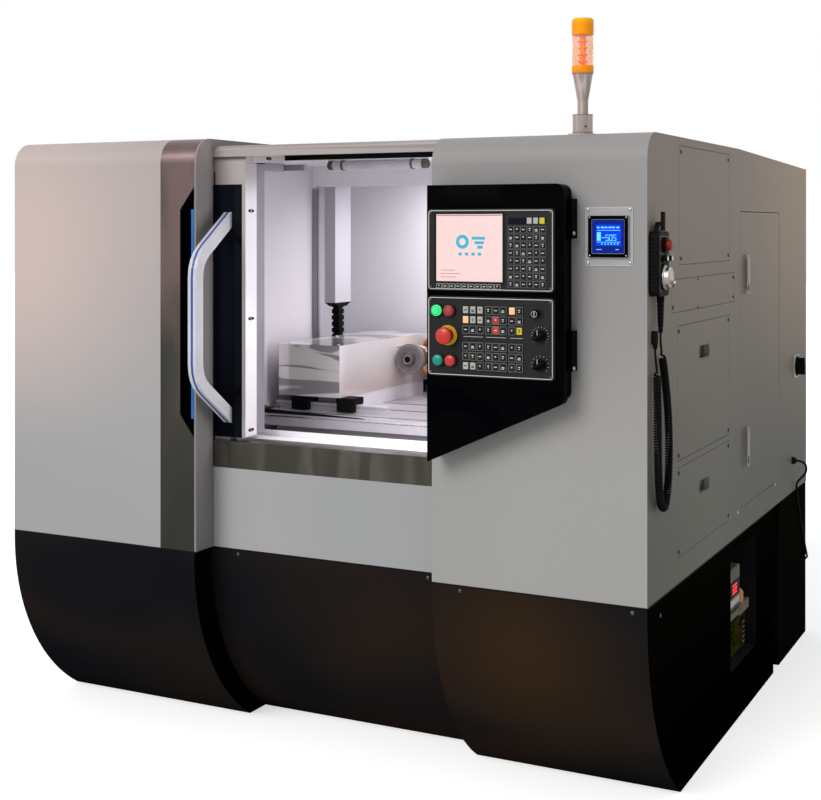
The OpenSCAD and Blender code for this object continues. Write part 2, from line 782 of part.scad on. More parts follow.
module operator_panel() color([0.16, 0.16, 0.17]) difference() {
  union() {
    unit_plate(operator_h, operator_z0);
    for (g = [[100, 3], [158, 3], [217, 2]], i = [0:g[1] - 1], j = [0:2], k = [0, 85])
      key(unit_x0 + g[0] + i * 18.4, operator_z1 - 31 - j * 23 - k, 14.5, 17);
    for (p = [start_at, stop_at, on_at, off_at])
      at_operator(p) cylinder(h = collar_h, d = button_dia + 5);
    at_operator(estop_at) cylinder(h = collar_h, d = estop_dia);
    for (p = [key_at, feed_at, speed_at]) at_operator(p) cylinder(h = 2, d = knob_dia + 8);
  }
  for (p = [start_at, stop_at, on_at, off_at]) at_operator(p)
    translate([0, 0, 0]) cylinder(h = collar_h + eps, d = button_dia + 2 * stem_gap);
  stem_holes();
}

// Push button: a stem and a domed head that dips into its collar
module button(p) at_operator(p) rotate_extrude() polygon(concat(
  [[0, -stem_l], [stem_dia / 2, -stem_l], [stem_dia / 2, button_travel + 1],
    [button_dia / 2, button_travel + 1], [button_dia / 2, collar_h + 4]],
  [for (i = [1:5]) [button_dia / 2 * cos(i * 18), collar_h + 4 + 4 * sin(i * 18)]]));

module start_button() color("lime") button(start_at);
module stop_button() color("firebrick") button(stop_at);
module on_button() color("teal") button(on_at);
module off_button() color("red") button(off_at);

// Mushroom head on a stem
module estop_head() color("red") at_operator(estop_at) rotate_extrude() polygon(concat(
  [[0, -stem_l], [stem_dia / 2, -stem_l], [stem_dia / 2, collar_h + 8],
    [estop_dia / 2 - 2, collar_h + 12], [estop_dia / 2, collar_h + 16],
    [estop_dia / 2, collar_h + 22]],
  [for (i = [1:5]) [estop_dia / 2 * cos(i * 18), collar_h + 22 + 6 * sin(i * 18)]]));

// Selector knob with a grip bar across its face
module knob(p, d, h) at_operator(p) {
  translate([0, 0, -stem_l + 4]) cylinder(h = stem_l + 2, d = knob_stem);
  translate([0, 0, 2 + stem_gap]) cylinder(h = h * 0.45, d = d);
  rotate(35) translate([-d * 0.56, -d * 0.16, 2 + stem_gap]) cube([d * 1.12, d * 0.32, h]);
}

module key_switch() color("silver") knob(key_at, 20, 12);
module feed_knob() color(gloss_black) knob(feed_at, knob_dia, 18);
module speed_knob() color(gloss_black) knob(speed_at, knob_dia, 18);

meter_x = x_right - 90;
meter_z = 1350;

module panel_meter() color("midnightblue") {
  block(meter_x - 57, meter_x + 57, y_front - 1.5, y_front, meter_z - 68, meter_z + 68);
  difference() {
    block(meter_x - meter_w / 2, meter_x + meter_w / 2, y_front - 8, y_front - 1.5,
      meter_z - meter_w / 2, meter_z + meter_w / 2);
    block(meter_x - 38, meter_x + 38, y_front - 9, y_front - 6, meter_z - 32, meter_z + 38);
  }
}

module at_lamp() translate([x_right - 192, y_front + roof_r + 42, machine_h]) children();

module lamp_stand() color("silver") at_lamp() rotate_extrude() polygon([[0, 0], [35, 0],
  [35, 3], [24, 5], [24, 48], [13, 49], [13, 82], [24, stand_h - 2], [24, stand_h], [0, stand_h]]);

module lamp_lens() color("orange") at_lamp() translate([0, 0, stand_h])
  rotate_extrude() polygon([[0, 0], [lens_dia / 2, 0], [lens_dia / 2, lens_h - 4],
    [lens_dia / 2 - 4, lens_h], [0, lens_h]]);

loop_y = pendant_mid - 4;
loop_z = pendant_z0 + pendant_h - 4;
loop_r = 18;

// Hook on the side wall: a peg through the pendant's loop, and its upright tip
module pendant_hook() {
  block(x_right - 1, x_right + 26, loop_y - 7, loop_y + 7, loop_z + 4, loop_z + loop_r - 1.8);
  block(x_right + 20, x_right + 26, loop_y - 7, loop_y + 7, loop_z + 4, loop_z + 48);
}

pendant_x0 = side_x + 0.4;
pendant_x1 = pendant_x0 + pendant_t;
dial_z = 1257;
stop_z = 1331;
selector_z = 1300;
boot_l = 84;
boot_y = pendant_mid + 12;
boot_x = pendant_x0 + 12;
pendant_bore = 8.5;

module at_pendant(y, z) translate([pendant_x1, y, z]) rotate([0, 90, 0]) children();

pendant_knob_y = [pendant_mid - 16, pendant_mid + 20];

// Grip body with side ribs, a hanging loop and a ribbed bend-relief boot
module pendant_body() color(gloss_black) {
  difference() {
    union() {
      translate([pendant_x0, pendant_y0, pendant_z0]) rotate([90, 0, 90])
        linear_extrude(pendant_t) round_rect(pendant_w, pendant_h, 14);
      for (i = [0:3]) block(pendant_x0 + 4, pendant_x1 - 4, pendant_y0 - 1.5, pendant_y0 + 2,
        pendant_z0 + 40 + i * 18, pendant_z0 + 48 + i * 18);
    }
    for (p = [[pendant_mid, dial_z], [pendant_mid + 6, stop_z],
      [pendant_knob_y[0], selector_z], [pendant_knob_y[1], selector_z]])
      at_pendant(p[0], p[1]) translate([0, 0, -16]) cylinder(h = 17, d = pendant_bore);
  }
  translate([pendant_x0 + 8, loop_y, loop_z]) rotate([90, 0, 90])
    linear_extrude(9) difference() {
      circle(loop_r + 8);
      circle(loop_r);
      translate([-40, -80]) square([80, 80]);
    }
  translate([boot_x, boot_y, pendant_z0 - boot_l]) difference() {
    cylinder(h = boot_l + 2, d1 = 11, d2 = 18);
    for (i = [1:7]) translate([0, 0, i * 9]) difference() {
      cylinder(h = 3, d = 30);
      cylinder(h = 3.1, d = 9 + i * 0.6);
    }
  }
}

module pendant_dial() color("gainsboro") at_pendant(pendant_mid, dial_z) {
  rotate_extrude() polygon([[0, -13], [3.8, -13], [3.8, 0.5], [dial_dia / 2, 0.5],
    [dial_dia / 2, 5], [dial_dia / 2 - 4, 7], [dial_dia / 2 - 5, 15],
    [dial_dia / 2 - 8, 17], [0, 17]]);
  translate([12, 4, 16]) cylinder(h = 14, d = 8);
}

module pendant_stop() color("red") at_pendant(pendant_mid + 6, stop_z)
  rotate_extrude() polygon([[0, -10], [3.8, -10], [3.8, 5], [12, 5], [13, 8], [13, 13],
    [11, 16], [6, 17.5], [0, 18]]);

module pendant_knob(y) at_pendant(y, selector_z) {
  translate([0, 0, -12]) cylinder(h = 14, d = 7.6);
  translate([0, 0, 0.5]) cylinder(h = 7, d = 15);
  rotate(20) translate([-2.5, -9, 0.5]) cube([5, 18, 13]);
}

module pendant_axis_knob() color(gloss_black) pendant_knob(pendant_knob_y[0]);
module pendant_step_knob() color(gloss_black) pendant_knob(pendant_knob_y[1]);

// Smooth curve through hand-placed points
function spline_at(p, i, t) =
  let (a = p[max(i - 1, 0)], b = p[i], c = p[i + 1], d = p[min(i + 2, len(p) - 1)])
  0.5 * (2 * b + (c - a) * t + (2 * a - 5 * b + 4 * c - d) * t * t
    + (3 * b - a - 3 * c + d) * t * t * t);
function spline(p, n) = [for (i = [0:len(p) - 2], k = [0:n - 1]) spline_at(p, i, k / n), p[len(p) - 1]];

// A plain round tube swept along a path, square to it at both ends
module sweep_tube(path, d, sides) {
  n = len(path);
  tangents = [for (i = [0:n - 1]) unit(path[min(i + 1, n - 1)] - path[max(i - 1, 0)])];
  across = [for (t = tangents) unit(cross(t, [0.35, 1, 0.2]))];
  points = [for (i = [0:n - 1], k = [0:sides - 1])
    let (u = across[i], v = cross(tangents[i], u), a = 360 * k / sides)
    path[i] + d / 2 * (cos(a) * u + sin(a) * v)];
  quads = [for (i = [0:n - 2], k = [0:sides - 1])
    let (m = (k + 1) % sides)
    [i * sides + k, i * sides + m, (i + 1) * sides + m, (i + 1) * sides + k]];
  first = [for (k = [sides - 1:-1:0]) k];
  last = [for (k = [0:sides - 1]) (n - 1) * sides + k];
  polyhedron(points, concat([first], quads, [last]));
}

cord_shift = [x_right - 930, y_front + 900, 0];
cable_shift = [x_right - 930, y_back - 900, 0];
// Route of the pendant's curly cord, from its boot down and up to the gland
cord_route = [for (p = [[942.4, -838.5, 1129.8], [942.4, -838.5, 1122], [942.4, -838.5, 1112],
  [942.6, -832, 1086], [944, -808, 1020], [946, -790, 930], [946, -784, 840], [946, -794, 765],
  [946, -820, 728], [946, -848, 740], [946, -864, 790], [946, -872, 870], [946, -873, 960],
  [945, -869, 1030], [944, -866, 1070], [944, -866, 1084], [944, -866, 1091.8]]) p + cord_shift];
// Route of the supply cable, from the side wall round the rear corner
cable_route = [for (p = [[944.2, 675, 612], [949, 675, 612], [955, 675.4, 611], [965, 679, 601],
  [968, 696, 566], [962, 730, 510], [958, 765, 440], [956, 800, 370], [954, 840, 305],
  [944, 890, 250], [930, 932, 200], [896, 958, 166], [862, 958, 158], [838, 944, 164],
  [830, 929, 171], [830, 922, 172], [830, 916.2, 172]]) p + cable_shift];

module pendant_cord() color(gloss_black) sweep_tube(spline(cord_route, 3), curl_dia, 10);
module supply_cable() color(gloss_black) sweep_tube(spline(cable_route, 3), cable_dia, 8);

// Threaded gland with a hexagon collar, standing on +Z
module gland(d, l) {
  cylinder(h = 4, d = d * 1.9);
  translate([0, 0, 4]) cylinder(h = (l - 4) * 0.6, d = d * 1.6, $fn = 6);
  translate([0, 0, 4 + (l - 4) * 0.6]) cylinder(h = (l - 4) * 0.4, d1 = d * 1.35, d2 = d * 1.1);
}

// Elbow that turns a cord down along the wall, ending at p
module elbow(p) {
  block(side_x, p[0] + 12, p[1] - 12, p[1] + 12, p[2] + 14, p[2] + 46);
  translate([p[0], p[1], p[2]]) cylinder(h = 15, d1 = 20, d2 = 23);
}

module cable_glands() color(gloss_black) {
  cable_end = cable_route[len(cable_route) - 1];
  elbow(cord_route[len(cord_route) - 1] + [0, 0, 0.2]);
  translate([side_x, cable_route[0][1], cable_route[0][2]]) rotate([0, 90, 0])
    gland(14, cable_route[0][0] - side_x - 0.2);
  translate([cable_end[0], y_back, cable_end[2]]) rotate([-90, 0, 0])
    gland(14, cable_end[1] - y_back - 0.2);
}

// Flat cover that fills an opening of the right side
module cover(o, t) block(x_right - t, x_right, y_front + o[0] + cover_gap,
  y_front + o[1] - cover_gap, o[2] + cover_gap, o[3] - cover_gap);

slot_l = 102;
slot_h = 40;
slot_y = 440;

// Cutter of the rounded finger slot through a cover and the wall behind it
module finger_slot(o) translate([x_right - side_t - eps, y_front + slot_y, o[3] - 100])
  rotate([90, 0, 90]) linear_extrude(2 * side_t) round_rect(slot_l, slot_h, 8);

module slot_cover(o) difference() {
  cover(o, cover_t);
  finger_slot(o);
}

module upper_cover() color(grey) cover(upper_open, cover_t);
module middle_cover() color(grey) cover(middle_open, cover_t);
module slot_covers() color(grey) for (o = [slot_open_a, slot_open_b]) slot_cover(o);

hinge_r = side_t / 2;
hinge_x = x_right - hinge_r;
hinge_y = y_front + cabinet_open[1] - cover_gap - hinge_r;
pin_dia = 6;
pin_l = 8;

// Cabinet door on two pins, with a rounded hinge edge and two latches
module cabinet_door() color(grey) {
  z0 = cabinet_open[2] + cover_gap;
  z1 = cabinet_open[3] - cover_gap;
  block(x_right - side_t, x_right, y_front + cabinet_open[0] + cover_gap, hinge_y, z0, z1);
  translate([hinge_x, hinge_y, z0]) cylinder(h = z1 - z0, r = hinge_r);
  translate([hinge_x, hinge_y, z0 - pin_l]) cylinder(h = z1 - z0 + 2 * pin_l, d = pin_dia);
  for (z = [692, 1181]) {
    block(x_right, x_right + 2, y_front + 912, y_front + 944, z, z + 112);
    block(x_right + 2, x_right + 9, y_front + 920, y_front + 936, z + 14, z + 98);
  }
}

isolator_y = y_front + 1628;
isolator_z = 915;

module isolator_plate() color("lightgray") difference() {
  block(x_right, x_right + 4, isolator_y - 37, isolator_y + 37, isolator_z - 37, isolator_z + 37);
  translate([x_right - eps, isolator_y, isolator_z]) rotate([0, 90, 0]) cylinder(h = 6, d = 10);
}

module isolator_knob() color(gloss_black)
  translate([x_right, isolator_y, isolator_z]) rotate([0, 90, 0]) {
    cylinder(h = 10, d = 9);
    translate([0, 0, 4.5]) cylinder(h = 12, d = 46);
    translate([-27, -7, 4.5]) cube([54, 14, 26]);
  }

// Lubricator on the back wall of its recess: pump, display and reservoir
module lubricator() color("lightgray") {
  x0 = x_right - lube_depth;
  y0 = lube_y0 + lube_gap;
  block(x0, x_right - 45, y0, y0 + 130, 262, 445);
  block(x_right - 45, x_right - 38, y0 + 12, y0 + 118, 330, 430);
  translate([x0 + 70, y0 + 190, 175]) cylinder(h = 130, d = 110);
  translate([x0 + 70, y0 + 190, 305]) cylinder(h = 14, d = 46);
  block(x0, x0 + 70, y0 + 150, y0 + 230, 180, 300);
  block(x0, x0 + 60, y0 + 120, y0 + 160, 264, 298);
}

screw_dia = 9;

module screw_head() rotate([0, 90, 0]) cylinder(h = 3, d = screw_dia);

module screws_at(o, inset) for (y = [o[0] + inset, o[1] - inset], z = [o[2] + inset, o[3] - inset])
  translate([x_right, y_front + y, z]) screw_head();

module cover_screws() color("dimgray") {
  screws_at(upper_open, 16);
  screws_at(middle_open, 14);
  screws_at(slot_open_a, 14);
  screws_at(slot_open_b, 14);
}

bed();
base_left();
base_center();
base_right();
base_rear();
left_housing();
steel_band();
door_hoop();
header_rail();
right_housing();
rear_housing();
apron();
sill();
chamber_liner();
table();
chamber_lamp();
cable_duct();
drag_chain();
head_saddle();
head_carriages();
head_cover();
wheel_spindle();
grinding_wheel();
workhead();
chuck();
door_frame();
door_glass();
door_handle();
door_hangers();
control_box();
display_unit();
screen();
operator_panel();
estop_head();
start_button();
stop_button();
on_button();
off_button();
key_switch();
feed_knob();
speed_knob();
panel_meter();
lamp_stand();
lamp_lens();
pendant_body();
pendant_dial();
pendant_stop();
pendant_axis_knob();
pendant_step_knob();
pendant_cord();
cable_glands();
supply_cable();
upper_cover();
middle_cover();
slot_covers();
cabinet_door();
isolator_plate();
isolator_knob();
lubricator();
cover_screws();
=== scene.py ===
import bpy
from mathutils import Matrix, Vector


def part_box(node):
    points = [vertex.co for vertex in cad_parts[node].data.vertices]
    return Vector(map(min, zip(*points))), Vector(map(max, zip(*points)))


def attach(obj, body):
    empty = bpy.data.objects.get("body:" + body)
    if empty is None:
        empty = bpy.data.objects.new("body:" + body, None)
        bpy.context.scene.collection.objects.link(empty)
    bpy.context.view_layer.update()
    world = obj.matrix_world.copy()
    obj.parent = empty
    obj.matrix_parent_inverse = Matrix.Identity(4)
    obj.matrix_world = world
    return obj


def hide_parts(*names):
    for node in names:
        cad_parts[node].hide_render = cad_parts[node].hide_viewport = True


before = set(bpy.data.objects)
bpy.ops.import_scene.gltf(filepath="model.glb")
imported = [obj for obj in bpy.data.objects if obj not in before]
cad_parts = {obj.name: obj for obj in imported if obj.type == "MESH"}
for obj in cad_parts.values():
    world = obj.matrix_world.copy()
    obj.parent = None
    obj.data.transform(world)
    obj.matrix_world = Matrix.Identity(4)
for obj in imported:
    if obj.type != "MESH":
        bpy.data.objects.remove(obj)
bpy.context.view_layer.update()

# %% [markdown]
# ## Camera
# A level camera stands in front of the right corner, a little below the roof.
# It isn't tilted: its view is shifted down instead, so that upright edges stay
# upright.
# %% Camera
import math

import bpy
from mathutils import Matrix, Vector

view = bpy.data.cameras.new("view")
view.sensor_width = 36
view.lens = 61.94
view.shift_y = -0.2114
camera = bpy.data.objects.new("view", view)
camera.location = (1.885, -3.988, 1.373)
camera.rotation_euler = (math.radians(90), 0, math.radians(26.7))
bpy.context.scene.collection.objects.link(camera)
bpy.context.scene.camera = camera
bpy.context.scene.view_settings.view_transform = "Standard"
print("camera at", [round(v, 3) for v in camera.location], "lens", round(view.lens, 2))

# %% [markdown]
# ## Shared surface effects
# Paint, plastic and metal all need the same few things: a fine grain that
# breaks up the gloss, a broad drift of tone, settled dust on what faces up,
# painted reflections as soft patches on polished sheet, and painted light and
# shade by height, on the flank and near one place. Each is one node group
# with its own inputs, so that a finish only has to set the amounts.
# %% A helper that starts a node group


def new_group(name, inputs, outputs):
    """An empty shader group with named sockets; returns (tree, input, output)."""
    tree = bpy.data.node_groups.new(name, "ShaderNodeTree")
    for label, kind, value in inputs:
        socket = tree.interface.new_socket(label, in_out="INPUT", socket_type=kind)
        if value is not None:
            socket.default_value = value
    for label, kind in outputs:
        tree.interface.new_socket(label, in_out="OUTPUT", socket_type=kind)
    return tree, tree.nodes.new("NodeGroupInput"), tree.nodes.new("NodeGroupOutput")


FLOAT, VECTOR = "NodeSocketFloat", "NodeSocketVector"
print("group sockets:", FLOAT, "and", VECTOR)

# %% [markdown]
# ### Small node helpers
# A group is wired from the same few nodes over and over: noise, a smooth
# stretch of a value, a sum, one axis of a place, a mix of two colours. Each
# helper takes plain numbers or sockets, so that the groups below stay short.
# %% Noise and stretched values


def noise(tree, vector, scale, detail=3.0, distortion=0.0):
    """A noise texture whose scale is a number or a socket; returns its value."""
    node = tree.nodes.new("ShaderNodeTexNoise")
    node.inputs["Detail"].default_value = detail
    node.inputs["Distortion"].default_value = distortion
    tree.links.new(vector, node.inputs["Vector"])
    if hasattr(scale, "is_linked"):
        tree.links.new(scale, node.inputs["Scale"])
    else:
        node.inputs["Scale"].default_value = scale
    return node.outputs[0]


def spread(tree, value, low, high, to_low=0.0, to_high=1.0):
    """Stretches a value from low..high to to_low..to_high, smoothly."""
    node = tree.nodes.new("ShaderNodeMapRange")
    node.interpolation_type = "SMOOTHSTEP"
    for label, number in (("From Min", low), ("From Max", high),
                          ("To Min", to_low), ("To Max", to_high)):
        if hasattr(number, "is_linked"):
            tree.links.new(number, node.inputs[label])
        else:
            node.inputs[label].default_value = number
    tree.links.new(value, node.inputs["Value"])
    return node.outputs["Result"]


print("node helpers: noise, spread")

# %% Sums and colour mixes


def math_node(tree, operation, a, b=0.0):
    """One Math node on two numbers or sockets; returns its value."""
    node = tree.nodes.new("ShaderNodeMath")
    node.operation = operation
    for socket, number in zip(node.inputs, (a, b)):
        if hasattr(number, "is_linked"):
            tree.links.new(number, socket)
        else:
            socket.default_value = number
    return node.outputs[0]


def blend_colour(tree, factor, a, b):
    """Mixes two colours or colour sockets by a factor."""
    node = tree.nodes.new("ShaderNodeMix")
    node.data_type = "RGBA"
    tree.links.new(factor, node.inputs["Factor"])
    for socket, colour in ((node.inputs[6], a), (node.inputs[7], b)):
        if hasattr(colour, "is_linked"):
            tree.links.new(colour, socket)
        else:
            socket.default_value = (*colour, 1)
    return node.outputs[2]


print("node helpers: math_node, blend_colour")

# %% Axes and stretched places


def one_axis(tree, vector, axis):
    """One axis of a place or a direction."""
    node = tree.nodes.new("ShaderNodeSeparateXYZ")
    tree.links.new(vector, node.inputs[0])
    return node.outputs[axis]


def stretched(tree, vector, stretch):
    """A place multiplied axis by axis, which draws a pattern out."""
    node = tree.nodes.new("ShaderNodeVectorMath")
    node.operation = "MULTIPLY"
    tree.links.new(vector, node.inputs[0])
    tree.links.new(stretch, node.inputs[1])
    return node.outputs[0]


print("node helpers: one_axis, stretched")

# %% [markdown]
# ### Grain and dust
# Sprayed paint and moulded plastic have a grain finer than a millimetre and a
# slow drift of tone. Dust lies only on what faces up, so its mask comes from
# the normal's height, and noise makes it patchy.
# %% Grain group
skin, skin_in, skin_out = new_group(
    "surface_grain",
    [("Vector", VECTOR, None), ("Broad scale", FLOAT, 2.0), ("Fine scale", FLOAT, 900.0)],
    [("Drift", FLOAT), ("Grain", FLOAT)])
drift = noise(skin, skin_in.outputs["Vector"], skin_in.outputs["Broad scale"], 2.0, 0.4)
skin.links.new(spread(skin, drift, 0.32, 0.68), skin_out.inputs["Drift"])
skin.links.new(noise(skin, skin_in.outputs["Vector"], skin_in.outputs["Fine scale"], 2.0),
               skin_out.inputs["Grain"])
print("group", skin.name, "with", len(skin.nodes), "nodes")

# %% Dust group
dust, dust_in, dust_out = new_group(
    "settled_dust", [("Vector", VECTOR, None), ("Amount", FLOAT, 0.3)], [("Mask", FLOAT)])
facing = dust.nodes.new("ShaderNodeNewGeometry")
upward = spread(dust, one_axis(dust, facing.outputs["Normal"], "Z"), 0.55, 1.0)
patchy = spread(dust, noise(dust, dust_in.outputs["Vector"], 14.0, 4.0), 0.35, 0.7, 0.35, 1.0)
film_mask = math_node(dust, "MULTIPLY", upward, patchy)
dust.links.new(math_node(dust, "MULTIPLY", film_mask, dust_in.outputs["Amount"]),
               dust_out.inputs["Mask"])
print("group", dust.name, "with", len(dust.nodes), "nodes")

# %% [markdown]
# ### Painted reflections and brushing
# Polished sheet gets painted reflections, soft patches of light and dark laid
# into its colour, and brushed sheet has fine lines. Both are a noise on a place
# that is stretched along one axis. A painted picture of the surroundings would
# be wrong from every other side.
# %% Painted reflection group
reflection_patches, polish_in, polish_out = new_group(
    "painted_reflections",
    [("Vector", VECTOR, None), ("Stretch", VECTOR, (1, 1, 1)), ("Waviness", FLOAT, 1.5),
     ("Low", FLOAT, 0.3), ("High", FLOAT, 0.7)],
    [("Mask", FLOAT)])
patches = reflection_patches.nodes.new("ShaderNodeTexNoise")
patches.inputs["Scale"].default_value = 1.0
patches.inputs["Detail"].default_value = 1.0
reflection_patches.links.new(stretched(reflection_patches, polish_in.outputs["Vector"], polish_in.outputs["Stretch"]),
                 patches.inputs["Vector"])
reflection_patches.links.new(polish_in.outputs["Waviness"], patches.inputs["Distortion"])
reflection_patches.links.new(spread(reflection_patches, patches.outputs[0], polish_in.outputs["Low"],
                        polish_in.outputs["High"]), polish_out.inputs["Mask"])
print("group", reflection_patches.name, "with", len(reflection_patches.nodes), "nodes")

# %% Brush group
brush, brush_in, brush_out = new_group(
    "brush_lines", [("Vector", VECTOR, None), ("Stretch", VECTOR, (4, 900, 900))],
    [("Lines", FLOAT)])
combed = stretched(brush, brush_in.outputs["Vector"], brush_in.outputs["Stretch"])
brush.links.new(noise(brush, combed, 1.0, 2.0), brush_out.inputs["Lines"])
print("group", brush.name, "with", len(brush.nodes), "nodes")

# %% [markdown]
# ### Painted light by height, flank and place
# Light and shade are painted into large sheets as a room would give them:
# lighter or darker towards the top, a painted shade on the side that faces
# away, a warm painted reflection in one corner. Three masks give that: one
# from the height, one from the normal, one from a distance.
# %% Painted light by height and on the flank
# Painted light by height: a mask that rises towards the top.
height_light, fade_in, fade_out = new_group(
    "painted_height_light", [("Vector", VECTOR, None), ("From", FLOAT, 0.5), ("To", FLOAT, 1.5)],
    [("Mask", FLOAT)])
height_light.links.new(spread(height_light, one_axis(height_light, fade_in.outputs["Vector"], "Z"),
                      fade_in.outputs["From"], fade_in.outputs["To"]), fade_out.inputs["Mask"])

# Painted shade and light on the faces turned to +X.
flank_light, _, flank_out = new_group(
    "painted_flank_light", [("Vector", VECTOR, None)], [("Mask", FLOAT)])
facing = flank_light.nodes.new("ShaderNodeNewGeometry")
flank_light.links.new(spread(flank_light, one_axis(flank_light, facing.outputs["True Normal"], "X"), 0.6, 0.9),
                flank_out.inputs["Mask"])
print("groups", height_light.name, "and", flank_light.name)

# %% Painted warm light group
warm_light, warmth_in, warmth_out = new_group(
    "painted_warm_light", [("Vector", VECTOR, None), ("Centre", VECTOR, (0, 0, 0)), ("Reach", FLOAT, 1.0)],
    [("Mask", FLOAT)])
away = warm_light.nodes.new("ShaderNodeVectorMath")
away.operation = "DISTANCE"
warm_light.links.new(warmth_in.outputs["Vector"], away.inputs[0])
warm_light.links.new(warmth_in.outputs["Centre"], away.inputs[1])
share = math_node(warm_light, "DIVIDE", away.outputs["Value"], warmth_in.outputs["Reach"])
warm_light.links.new(spread(warm_light, share, 0.0, 1.0, 1.0, 0.0), warmth_out.inputs["Mask"])
print("shared effects", [g.name for g in bpy.data.node_groups])

# %% [markdown]
# ## Finishes
# One function builds every finish: two close tones that drift into each other,
# a rough and a smooth value, and a grain that dents the surface a little.
# A paint can carry painted light: lighter or darker towards the top, a painted
# shade or reflection on the right flank and a warm painted reflection near a
# place. Settled dust, painted reflection patches and brush lines join in where
# they belong.
# %% Placing a group in a material


def put_group(tree, group, vector, **values):
    """Places a shared group in a material and sets its inputs."""
    node = tree.nodes.new("ShaderNodeGroup")
    node.node_tree = group
    tree.links.new(vector, node.inputs["Vector"])
    for label, value in values.items():
        node.inputs[label.replace("_", " ")].default_value = value
    return node


print("groups to place", len(bpy.data.node_groups))

# %% Laying a tone over a colour


def laid_over(tree, place, colour, group, tone, **values):
    """Blends a tone over a colour where a shared group's mask lets it show."""
    mask = put_group(tree, group, place, **values).outputs["Mask"]
    return blend_colour(tree, mask, colour, tone)


print("layers of tone: painted_height_light, painted_reflections, painted_flank_light, painted_warm_light, settled_dust")

# %% [markdown]
# ### The finish builder
# The layers lie in this order: paint, painted light by height, painted
# reflection patches, painted shade on the flank, a warm painted reflection,
# and dust on top. Gloss and relief share one grain, so that a dent and its
# glint fall on the same spot.
# %% The finish builder
DUST_TONE = (0.62, 0.60, 0.57)
GRAIN_HEIGHT = 0.001


def finish(name, tone, other, rough, grain=900.0, dent=0.05, broad=2.0, dusty=0.0,
           reflections=None, crisp=0.2, brushed=None, light_by_height=None, flank_light_tones=None, warm_light_spot=None, **shader):
    """A material whose colour, gloss and relief all vary over the surface."""
    material = bpy.data.materials.new(name)
    material.use_nodes = True
    tree = material.node_tree
    surface = tree.nodes["Principled BSDF"]
    place = tree.nodes.new("ShaderNodeTexCoord").outputs["Object"]
    base = put_group(tree, skin, place, Broad_scale=broad, Fine_scale=grain)
    colour = blend_colour(tree, base.outputs["Drift"], tone, other)
    gloss = base.outputs["Grain"]
    # Painted light: the tone turns lighter or darker towards the top.
    if light_by_height:
        start, end, high_tone = light_by_height
        colour = laid_over(tree, place, colour, height_light, high_tone, From=start, To=end)
    # Painted reflections: soft patches of another tone.
    if reflections:
        stretch, waviness, deep = reflections
        colour = laid_over(tree, place, colour, reflection_patches, deep, Stretch=stretch,
                           Waviness=waviness, Low=0.5 - crisp, High=0.5 + crisp)
    # Painted shade and light on the faces turned to +X, graded by height.
    if flank_light_tones:
        start, end, low_tone, high_tone = flank_light_tones
        shaded = laid_over(tree, place, low_tone, height_light, high_tone, From=start, To=end)
        colour = laid_over(tree, place, colour, flank_light, shaded)
    # A warm painted reflection that fades with distance from one place.
    if warm_light_spot:
        centre, reach, warm_light_tone = warm_light_spot
        colour = laid_over(tree, place, colour, warm_light, warm_light_tone, Centre=centre, Reach=reach)
    if dusty:
        colour = laid_over(tree, place, colour, dust, DUST_TONE, Amount=dusty)
    if brushed:
        gloss = put_group(tree, brush, place, Stretch=brushed).outputs["Lines"]
    tree.links.new(colour, surface.inputs["Base Color"])
    tree.links.new(spread(tree, gloss, 0.3, 0.7, *rough), surface.inputs["Roughness"])
    relief = tree.nodes.new("ShaderNodeBump")
    relief.inputs["Strength"].default_value = dent
    relief.inputs["Distance"].default_value = GRAIN_HEIGHT
    tree.links.new(gloss, relief.inputs["Height"])
    tree.links.new(relief.outputs[0], surface.inputs["Normal"])
    for label, value in shader.items():
        surface.inputs[label.replace("_", " ")].default_value = value
    return material


print("a finish takes two tones, a roughness range and its layers")

# %% [markdown]
# ### Enclosure paints
# The housing is sprayed in two close greys with a fine orange-peel grain, the
# hoop in a darker one and the base in satin black. Light and shade are painted
# into them: tones that change with height, a painted shade on the right side,
# since it faces away from the light, and warm painted reflections in a few places.
# %% Housing, hoop and base paint
# Painted light: lighter and warmer towards the top, and a pink painted reflection near the top of
# the left front.
grey_paint = finish("grey_paint", (0.385, 0.38, 0.38), (0.345, 0.35, 0.355), (0.40, 0.56),
                    dent=0.10, broad=1.1, dusty=0.10, light_by_height=(0.75, 1.45, (0.440, 0.390, 0.382)),
                    warm_light_spot=((-0.93, -0.90, 1.32), 0.66, (0.62, 0.495, 0.46)),
                    Specular_IOR_Level=0.3)
# Painted light and shade: darker towards the top, a painted shade on the right side that lightens
# and warms with height, and a warm painted reflection towards the rear top.
side_paint = finish("side_paint", (0.375, 0.37, 0.355), (0.345, 0.34, 0.33),
                    (0.42, 0.60), dent=0.10, broad=1.3, dusty=0.08,
                    light_by_height=(0.75, 1.25, (0.315, 0.302, 0.300)),
                    flank_light_tones=(0.56, 1.50, (0.112, 0.112, 0.092), (0.262, 0.214, 0.178)),
                    warm_light_spot=((0.93, 0.95, 1.75), 1.2, (0.40, 0.300, 0.210)),
                    Specular_IOR_Level=0.2)
# Painted highlight: lighter along the top of the hoop.
hoop_paint = finish("hoop_paint", (0.235, 0.220, 0.224), (0.205, 0.193, 0.192),
                    (0.32, 0.44), dent=0.08, broad=2.2, light_by_height=(1.50, 1.60, (0.29, 0.255, 0.25)),
                    Specular_IOR_Level=0.25)
